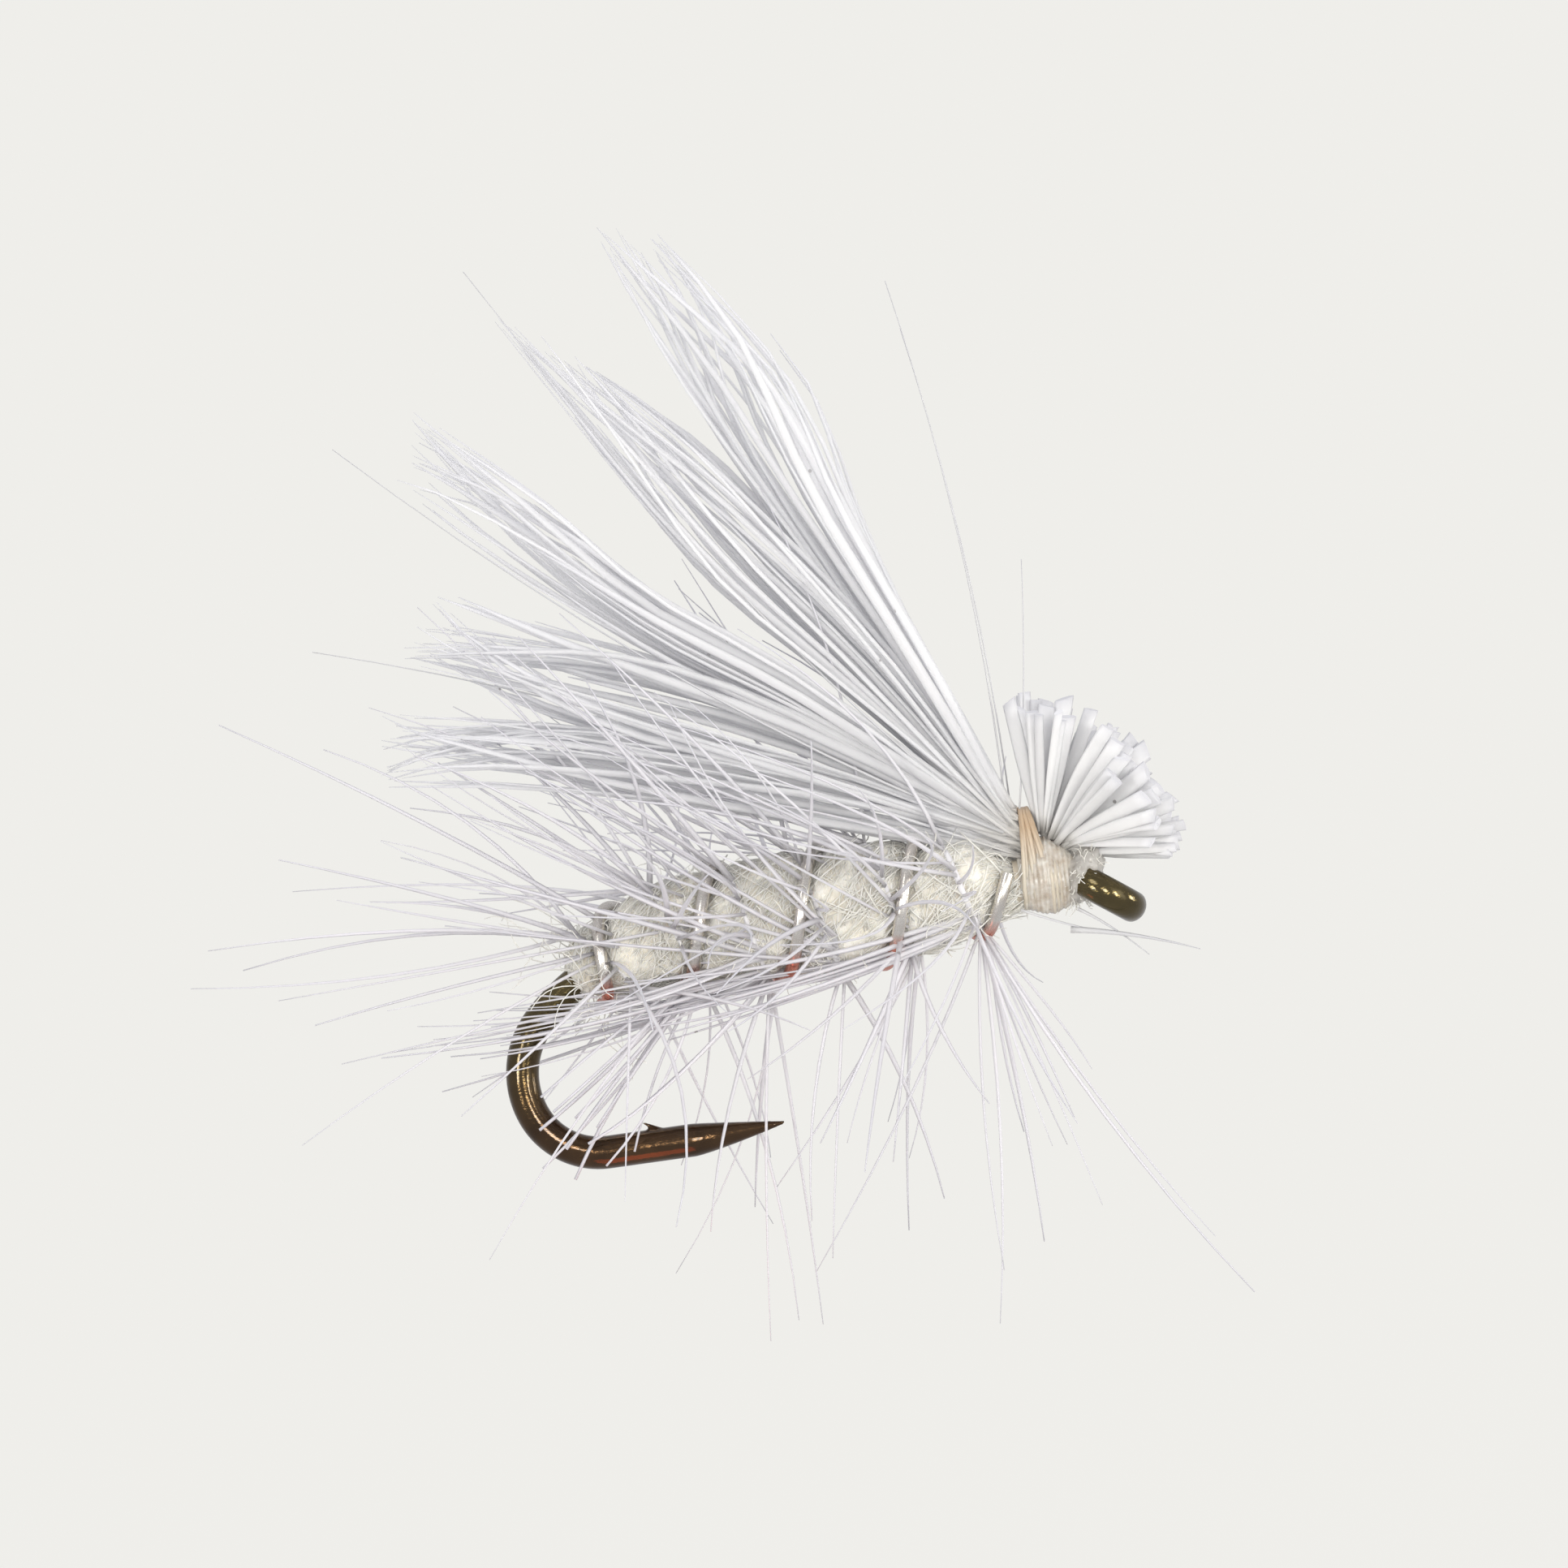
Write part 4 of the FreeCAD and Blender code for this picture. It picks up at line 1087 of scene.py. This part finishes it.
# The edges of each tuft seen from the side, from the tie to the tips: (x, z) in millimetres, upper edge first.
# The last numbers are where across the tuft its tips gather, from 0 on the upper edge to 1 on the lower.
TUFT_EDGES = (
    (((-1.25, 1.25), (-1.96, 3.37), (-2.90, 5.99), (-3.65, 8.59), (-5.40, 10.83)),
     ((-1.30, 1.10), (-2.60, 3.60), (-4.38, 6.95), (-5.55, 9.30), (-6.29, 11.14)), (0.0, 0.10, 0.50, 1.0)),
    (((-1.30, 1.15), (-2.65, 3.95), (-4.10, 6.10), (-5.35, 7.75), (-6.75, 9.10)),
     ((-1.35, 1.02), (-3.70, 3.95), (-5.20, 5.60), (-6.60, 7.70), (-8.03, 10.00)), (0.0, 0.45, 0.9, 1.0)),
    (((-1.35, 1.08), (-4.10, 3.85), (-6.20, 5.40), (-7.60, 6.95), (-9.39, 8.59)),
     ((-1.40, 0.92), (-4.25, 3.20), (-6.28, 4.60), (-8.45, 6.35), (-9.75, 7.55)), (0.0, 0.25, 0.6, 1.0)),
    (((-1.35, 0.95), (-4.15, 3.15), (-6.30, 4.40), (-8.00, 5.20), (-9.40, 5.85)),
     ((-1.40, 0.85), (-4.20, 2.30), (-6.80, 3.35), (-8.60, 4.15), (-10.10, 5.00)), (0.0, 0.5, 0.8, 1.0)),
    (((-1.35, 0.85), (-4.20, 2.50), (-6.90, 3.35), (-8.80, 3.85), (-10.55, 4.15)),
     ((-1.40, 0.72), (-4.21, 1.70), (-6.70, 2.40), (-8.90, 2.92), (-10.70, 3.10)), (0.0, 0.4, 0.8, 1.0)),
)


def tie_place():
    """The rear edge of the thread that holds the hair, on the bundle's centre line."""
    up = shank_height() + bench("fly_thread", "tie_off_radius") + bench("fly_wing", "bundle_radius")
    return Vector((head_back() - 0.30, 0, up))


def bundle_offset(dice):
    """A random place in the round bundle of hair."""
    radius = bench("fly_wing", "bundle_radius") * 0.86 * math.sqrt(dice.random())
    angle = dice.uniform(0, math.tau)
    return Vector((0, radius * math.cos(angle), radius * math.sin(angle)))


def wing_hair(dice, number, thickness, end):
    """One hair from the tie to its tip, spread through the tuft and gathered towards one of its tips."""
    upper, lower, gathers = TUFT_EDGES[number - 1]
    upper = [Vector((x, 0, z)) for x, z in upper]
    lower = [Vector((x, 0, z)) for x, z in lower]
    gather = dice.choice(gathers) + dice.gauss(0, 0.05)
    middle = 0.5 - 0.56 * math.cos(math.pi * dice.random())
    side = dice.uniform(-1, 1)
    width = bench("fly_wing", "half_width") * (1.0 - 0.06 * number)
    offset = bundle_offset(dice)
    offset.z += (3 - number) * 0.06
    wobble = dice.uniform(0, math.tau)
    points = []
    radii = []
    for even in shares(12):
        share = even ** 1.15
        place = share * end
        pull = place ** 3.2
        across = middle + (gather - middle) * pull + 0.06 * math.sin(wobble * 2 + 5 * share)
        point = through(upper, place).lerp(through(lower, place), across)
        point.y = side * width * place ** 0.9 * (1 - 0.15 * place) + 0.05 * math.sin(wobble + 4 * share)
        settle = (1 - place) ** 7
        points.append(point * (1 - settle) + (tie_place() + offset) * settle)
        swell = 0.50 + 0.50 * min(1.0, share / 0.16)
        radii.append(thickness * swell * (1 - 0.25 * share) * (1 - share ** 5) + 0.006)
    return Strand(points, radii, dice.random(), 0.62, dice.uniform(0, math.pi))


def stub_strand(dice, rank, side, reach):
    """One cut end of the hair, flattened and slantwise cut: rank 0 stands up and rank 1 lies over the eye."""
    slope = math.radians(94 - 117 * rank + 14 * rank ** 2 + dice.gauss(0, 3))
    spread = 0.8 * bench("fly_wing", "bundle_radius") * (1 - 0.4 * rank)
    root = tie_place() + Vector((0.30 + 0.48 * rank, side * spread, 0.02 - 0.36 * rank + dice.gauss(0, 0.04)))
    length = bench("fly_wing", "stub_length") * (1 - 0.2 * rank) * reach
    lean = side * 0.8
    way = Vector((math.cos(slope) * math.cos(lean), math.sin(lean), math.sin(slope) * math.cos(lean)))
    tip = root + way * length
    knee = root + way * length * 0.5 + Vector((0, dice.gauss(0, 0.05), dice.gauss(0.03, 0.06)))
    wide = bench("fly_wing", "stub_diameter") / 2 * dice.uniform(0.55, 1.15)
    points = []
    radii = []
    for share in shares(8):
        points.append(root * (1 - share) ** 2 + knee * 2 * share * (1 - share) + tip * share ** 2)
        radii.append(wide * (0.40 + 0.60 * min(1.0, share / 0.5)))
    return Strand(points, radii, dice.random() * 0.8, dice.uniform(0.30, 0.60), dice.gauss(0, 0.5),
                  dice.uniform(-0.6, 0.6) * wide)


def make_wing():
    """The five tufts and, tuft by tuft, the cut stubs of the same hairs."""
    white = setting("fly_wing", "white")
    # The wing hair gives off a little painted light of its own, which lifts the shade between its hairs.
    hair = hair_finish("wing_hair", white, 0.62, 0.65, 3.0, 0.06)
    stub = hair_finish("hair_stubs", tinted(white, 0.96), 0.30, 0.3, 9.0)
    stubs = setting("fly_wing", "stub_count") // TUFT_COUNT
    thick = bench("fly_wing", "hair_diameter") / 2
    for number in range(1, TUFT_COUNT + 1):
        dice = random.Random(500 + number)
        strands = []
        for index in range(setting("fly_wing", "hairs_per_tuft")):
            end = dice.uniform(0.90, 1.0) if index % 3 else dice.uniform(0.62, 0.92)
            share = dice.uniform(0.85, 1.20) if index % 2 else dice.uniform(0.35, 0.65)
            strands.append(wing_hair(dice, number, thick * share, end))
        cut = []
        for index in range(stubs):
            rank = (number - 1 + (index + dice.random()) / stubs) / TUFT_COUNT
            cut.append(stub_strand(dice, rank, dice.uniform(-1.0, 1.0), dice.uniform(0.86, 1.03)))
        node = f"wing_tuft_{number}"
        finish_piece(strand_piece(strands, 6), f"wing_hair_{number}", hair, node)
        finish_piece(strand_piece(cut, 8), f"wing_stubs_{number}", stub, node)


# Single hairs that stand away from the fly: root, tip, sideways bow and thickness, in millimetres.
STRAY_HAIRS = (
    ((-1.30, -0.10, 1.42), (-2.02, -0.60, 9.61), (0.22, 0.0, 0.0), 0.017),
    ((-1.22, 0.18, 1.40), (-1.86, 0.70, 8.96), (0.18, 0.0, 0.0), 0.014),
    ((-1.10, -0.20, 1.42), (-0.56, -0.50, 5.16), (0.05, 0.0, 0.0), 0.016),
    ((-0.60, -0.52, -0.50), (1.29, -0.80, -1.05), (0.0, 0.0, 0.06), 0.058),
    ((-1.30, -0.45, -0.10), (0.30, -0.60, -0.72), (0.0, 0.0, -0.05), 0.025),
    ((-0.45, -0.50, -0.20), (0.52, -0.62, -1.03), (0.0, 0.0, 0.05), 0.030),
    ((-1.40, -0.30, 1.10), (-10.60, -1.40, 8.20), (0.0, 0.0, -0.5), 0.028),
    ((-1.40, 0.20, 0.90), (-11.36, -0.80, 5.25), (0.0, 0.0, 0.35), 0.030),
    ((-1.40, -0.20, 1.10), (-8.30, -1.00, 10.60), (0.0, 0.0, -0.6), 0.026),
)


def make_strays():
    """Single hairs that stand away from the wing and the head."""
    dice = random.Random(77)
    strands = []
    for root, tip, bow, thick in STRAY_HAIRS:
        radii = taper(12, thick, 0.007, 0.9)
        points = bowed(Vector(root), Vector(tip), Vector(bow), len(radii))
        strands.append(Strand(points, radii, dice.random() * 0.7, 0.7))
    finish = hair_finish("stray_hairs", tinted(setting("fly_wing", "white"), 0.82), 0.35, 0.0, 0.5)
    finish_piece(strand_piece(strands, 5), "stray_hairs", finish, "loose_hairs")


# ---------------------------------------------------------------- thread


# Radius of the thread as it lies, for its diameter, since it flattens when it is pulled tight.
FLATTENED = 0.4


def whip_line(dice, back_x, front_x):
    """Four turns of thread wound over the front of the head, each a little narrower."""
    turns = 4
    points = []
    for share in shares(turns * 24 + 1):
        angle = math.tau * turns * share
        radius = 0.515 - 0.09 * share + dice.uniform(-0.008, 0.008)
        x = back_x + (front_x - back_x) * share + dice.uniform(-0.008, 0.008)
        points.append(Vector((x, math.sin(angle) * radius, shank_height() + math.cos(angle) * radius)))
    return points


def make_collar():
    """The thread that binds the hair down: turns that bunch over the hair and spread below the shank."""
    dice = random.Random(91)
    radius = bench("fly_thread", "diameter") * FLATTENED
    reach = bench("fly_thread", "tie_off_radius") + radius
    tall = 2 * bench("fly_wing", "bundle_radius")
    middle = head_back() - 0.15
    turns = 9
    points = []
    for share in shares(turns * 30 + 1):
        angle = math.tau * turns * share
        upward = max(0.0, math.cos(angle))
        high = math.cos(angle) * reach + tall * upward ** 0.4
        spread = 0.46 - 0.34 * upward ** 0.6
        x = middle + (share - 0.5) * spread + dice.uniform(-0.006, 0.006)
        y = math.sin(angle) * (reach + 0.03 * math.sin(angle * 1.7)) + dice.uniform(-0.006, 0.006)
        points.append(Vector((x - 0.05 * upward, y, shank_height() + high)))
    piece = tube(points, radius, roundness=3)
    finish_piece(piece, "collar_turns", collar_finish(), "wing_collar")


# Radii of the thread head, evenly spaced from the hair to the eye, in millimetres.
HEAD_PROFILE = (0.36, 0.42, 0.46, 0.50, 0.51, 0.49, 0.45, 0.39, 0.30)


def head_place(share, angle, outward):
    """A corner of the thread head: glued turns heaped against the hair and run down towards the eye."""
    back = head_back() - 0.40
    front = head_front() + 0.06
    x = back + (front - back) * share
    place = share * (len(HEAD_PROFILE) - 1)
    index = min(int(place), len(HEAD_PROFILE) - 2)
    radius = HEAD_PROFILE[index] + (HEAD_PROFILE[index + 1] - HEAD_PROFILE[index]) * (place - index)
    upward = max(0.0, math.cos(angle))
    radius += 0.16 * upward ** 2 * math.exp(-((share - 0.42) / 0.28) ** 2)
    lump = noise.fractal(Vector((x * 3.0, math.cos(angle) * 1.3, math.sin(angle) * 1.3)), 0.8, 2.0, 3)
    ridge = 0.5 + 0.5 * math.cos(math.tau * (x / 0.072 - angle / math.tau))
    radius += 0.035 * lump + 0.018 * ridge
    high = math.cos(angle) * radius * outward
    return Vector((x, math.sin(angle) * radius * outward, shank_height() + high))


def make_head():
    """The thread head: a heap of cream turns and the whip finish over it."""
    dice = random.Random(92)
    radius = bench("fly_thread", "diameter") * FLATTENED
    head = lengthened_tube(72, 150)
    shape_tube(head, head_place)
    finish_piece(head, "head_turns", head_finish(), "thread_head")
    front = head_front() - radius
    over = whip_line(dice, front - 0.36, front - 0.12)
    cream = thread_finish("cream_thread", setting("fly_thread", "cream"))
    finish_piece(tube(over, radius, roundness=3), "whip_turns", cream, "whip_finish")


def coat_place(way):
    """A point of the cement: a lumpy ring that leans with the eye."""
    swell = 1.0 + 0.16 * noise.fractal(way * 2.2, 0.8, 2.0, 4)
    lean = 0.15 * way.z
    return Vector((head_front() + 0.13 + way.x * 0.32 * swell + lean, way.y * 0.56 * swell,
                   shank_height() + 0.02 + way.z * 0.44 * swell))


def make_cement():
    """Cloudy cement that has run over the front of the head, and the lint caught in it."""
    clear_selection()
    bpy.ops.mesh.primitive_uv_sphere_add(segments=64, ring_count=40, radius=1.0)
    coat = bpy.context.object
    for corner in coat.data.vertices:
        corner.co = coat_place(corner.co.normalized())
    choose(coat)
    bpy.ops.object.shade_smooth()
    finish_piece(coat, "cement_coat", cement_finish(), "head_cement")
    dice = random.Random(93)
    lint = []
    for _ in range(170):
        way = Vector((dice.gauss(0, 0.5), dice.gauss(0, 1), dice.gauss(0, 1))).normalized()
        root = coat_place(way)
        stray = Vector((dice.gauss(0, 0.6), dice.gauss(0, 0.6), dice.gauss(0, 0.6)))
        tip = root + (way + stray) * dice.uniform(0.04, 0.15)
        bow = Vector((dice.gauss(0, 0.02), 0, dice.gauss(0, 0.02)))
        lint.append(Strand(bowed(root, tip, bow, 6), taper(6, 0.010, 0.006), dice.random()))
    finish_piece(strand_piece(lint, 3), "cement_lint", fibre_finish(), "head_cement")


def finish_hidden_thread():
    """The thread under the body and hair keeps its shape and gets a thread finish."""
    material = thread_finish("hidden_thread", setting("fly_thread", "cream"))
    for name in ("thread_base", "rear_tie_in", "front_tie_off"):
        node = bpy.data.objects[name]
        node.data.materials.clear()
        node.data.materials.append(material)


# ---------------------------------------------------------------- stage


# The sheet's width, how far out it lies flat, and how gently it rises past that.
SHEET_WIDTH = 1400.0
SHEET_FLAT = 245.0
SHEET_CURVE = 900.0
# The camera's roll in degrees, the middle and width of its view, and its lens and sensor.
VIEW_ROLL = 8.0
VIEW_MIDDLE = (-4.59, 0, 2.29)
VIEW_WIDTH = 23.85
LENS = 150.0
SENSOR = 36.0
# Small bright lamps whose reflections spark in the wire and the rib.
SPARKS = {"left": (-55, -80, 6), "middle": (5, -96, 9), "right": (52, -80, -2), "far": (95, -8, -4)}


def make_sheet():
    """A pale sheet that runs under the fly and curves up on every side, unseen by what reflects in the wire."""
    low = CAD_BOX[0][2] / MM - bench("fly_stage", "drop")
    clear_selection()
    bpy.ops.mesh.primitive_plane_add(size=1.0)
    sheet = bpy.context.object
    bpy.ops.object.mode_set(mode="EDIT")
    bpy.ops.mesh.subdivide(number_cuts=60)
    bpy.ops.object.mode_set(mode="OBJECT")
    for corner in sheet.data.vertices:
        place = corner.co * SHEET_WIDTH
        past = max(0.0, math.hypot(place.x, place.y) - SHEET_FLAT)
        corner.co = Vector((place.x, place.y, low + past ** 2 / SHEET_CURVE))
    choose(sheet)
    bpy.ops.object.shade_smooth()
    sheet.data.transform(Matrix.Scale(MM, 4))
    sheet.name = "pale_sheet"
    sheet.visible_glossy = False
    sheet.data.materials.append(stage_finish())


def add_lamp(name, place, target, size, power, colour):
    """A soft square lamp aimed at a point, in bench units, not seen by the camera."""
    lamp = bpy.data.lights.new(name, "AREA")
    lamp.size = size * MM
    lamp.energy = power
    lamp.color = colour
    holder = new_object(name, lamp)
    holder.location = Vector(place) * MM
    holder.rotation_euler = (Vector(target) - Vector(place)).to_track_quat("-Z", "Y").to_euler()
    holder.visible_camera = False


def add_camera():
    """A long lens square to the fly's side, rolled so that the fly rides nose up."""
    roll = math.radians(VIEW_ROLL)
    right = Vector((math.cos(roll), 0, -math.sin(roll)))
    up = Vector((math.sin(roll), 0, math.cos(roll)))
    back = right.cross(up)
    camera = bpy.data.cameras.new("camera")
    camera.lens = LENS
    camera.sensor_width = SENSOR
    camera.clip_start = 0.001
    camera.clip_end = 10.0
    holder = new_object("camera", camera)
    turn = Matrix((right, up, back)).transposed().to_4x4()
    turn.translation = (Vector(VIEW_MIDDLE) + back * VIEW_WIDTH * LENS / SENSOR) * MM
    holder.matrix_world = turn
    bpy.context.scene.camera = holder


def make_light():
    """Soft studio light: key, fill and top lamps, small sparks for the metal and a red glint under the bend."""
    world = bpy.data.worlds.new("studio")
    world.use_nodes = True
    background = world.node_tree.nodes["Background"]
    background.inputs["Color"].default_value = (0.82, 0.82, 0.84, 1.0)
    background.inputs["Strength"].default_value = 0.70
    bpy.context.scene.world = world
    add_lamp("key", (-30, -70, 55), (-4, 0, 2), 26, 0.010, (1.0, 0.99, 0.97))
    add_lamp("fill", (60, -60, 5), (-4, 0, 1), 50, 0.008, (0.97, 0.98, 1.0))
    add_lamp("top", (-2, 10, 75), (-4, 0, 2), 40, 0.020, (1.0, 1.0, 1.0))
    for name, place in SPARKS.items():
        add_lamp("spark_" + name, place, (-1, 0, 0), 20, 0.0265, (1.0, 0.975, 0.91))
    add_lamp("glint", (-7.6, -1.5, -5.9), (-7.2, 0, -2.6), 2, 0.00002, (1.0, 0.20, 0.08))
    bpy.context.scene.view_settings.view_transform = "Standard"


# ---------------------------------------------------------------- operators and panel


class FLY_OT_stage(bpy.types.Operator):
    """Set the pale sheet, the lamps and the camera"""
    bl_idname = "fly.stage"
    bl_label = "Stage"

    def execute(self, context):
        make_sheet()
        make_light()
        add_camera()
        return {"FINISHED"}


class FLY_OT_hook(bpy.types.Operator):
    """Make the bronzed hook"""
    bl_idname = "fly.hook"
    bl_label = "Hook"

    def execute(self, context):
        make_hook()
        return {"FINISHED"}


class FLY_OT_body(bpy.types.Operator):
    """Dub the body and wind the rib and the quill over it"""
    bl_idname = "fly.body"
    bl_label = "Body"

    def execute(self, context):
        make_dubbing()
        make_fibres()
        make_rib()
        make_quill()
        return {"FINISHED"}


class FLY_OT_hackle(bpy.types.Operator):
    """Stand out the barbs of the hackle"""
    bl_idname = "fly.hackle"
    bl_label = "Hackle"

    def execute(self, context):
        make_hackle()
        return {"FINISHED"}


class FLY_OT_wing(bpy.types.Operator):
    """Tie in the hair wing with its cut stubs and stray hairs"""
    bl_idname = "fly.wing"
    bl_label = "Wing"

    def execute(self, context):
        make_wing()
        make_strays()
        return {"FINISHED"}


class FLY_OT_thread(bpy.types.Operator):
    """Wind the collar, the head and the whip finish, and run the cement over them"""
    bl_idname = "fly.thread"
    bl_label = "Thread"

    def execute(self, context):
        make_collar()
        make_head()
        make_cement()
        finish_hidden_thread()
        return {"FINISHED"}


class FLY_PT_panel(bpy.types.Panel):
    """Lists the fly's pieces and their sizes"""
    bl_idname = "FLY_PT_panel"
    bl_label = "Dry Fly"
    bl_space_type = "VIEW_3D"
    bl_region_type = "UI"
    bl_category = "Dry Fly"

    def draw(self, context):
        for operator in OPERATORS:
            self.layout.operator(operator.bl_idname)
        for name, group in SETTINGS.items():
            box = self.layout.box()
            for key in group.__annotations__:
                box.prop(getattr(context.scene, name), key)


OPERATORS = (FLY_OT_stage, FLY_OT_hook, FLY_OT_body, FLY_OT_hackle, FLY_OT_wing, FLY_OT_thread)
CLASSES = (*SETTINGS.values(), *OPERATORS, FLY_PT_panel)


def register():
    for item in CLASSES:
        bpy.utils.register_class(item)
    for name, group in SETTINGS.items():
        setattr(bpy.types.Scene, name, PointerProperty(type=group))


def unregister():
    for name in SETTINGS:
        delattr(bpy.types.Scene, name)
    for item in reversed(CLASSES):
        bpy.utils.unregister_class(item)


def main():
    register()
    for operator in OPERATORS:
        family, name = operator.bl_idname.split(".")
        getattr(getattr(bpy.ops, family), name)()


if __name__ == "__main__":
    main()
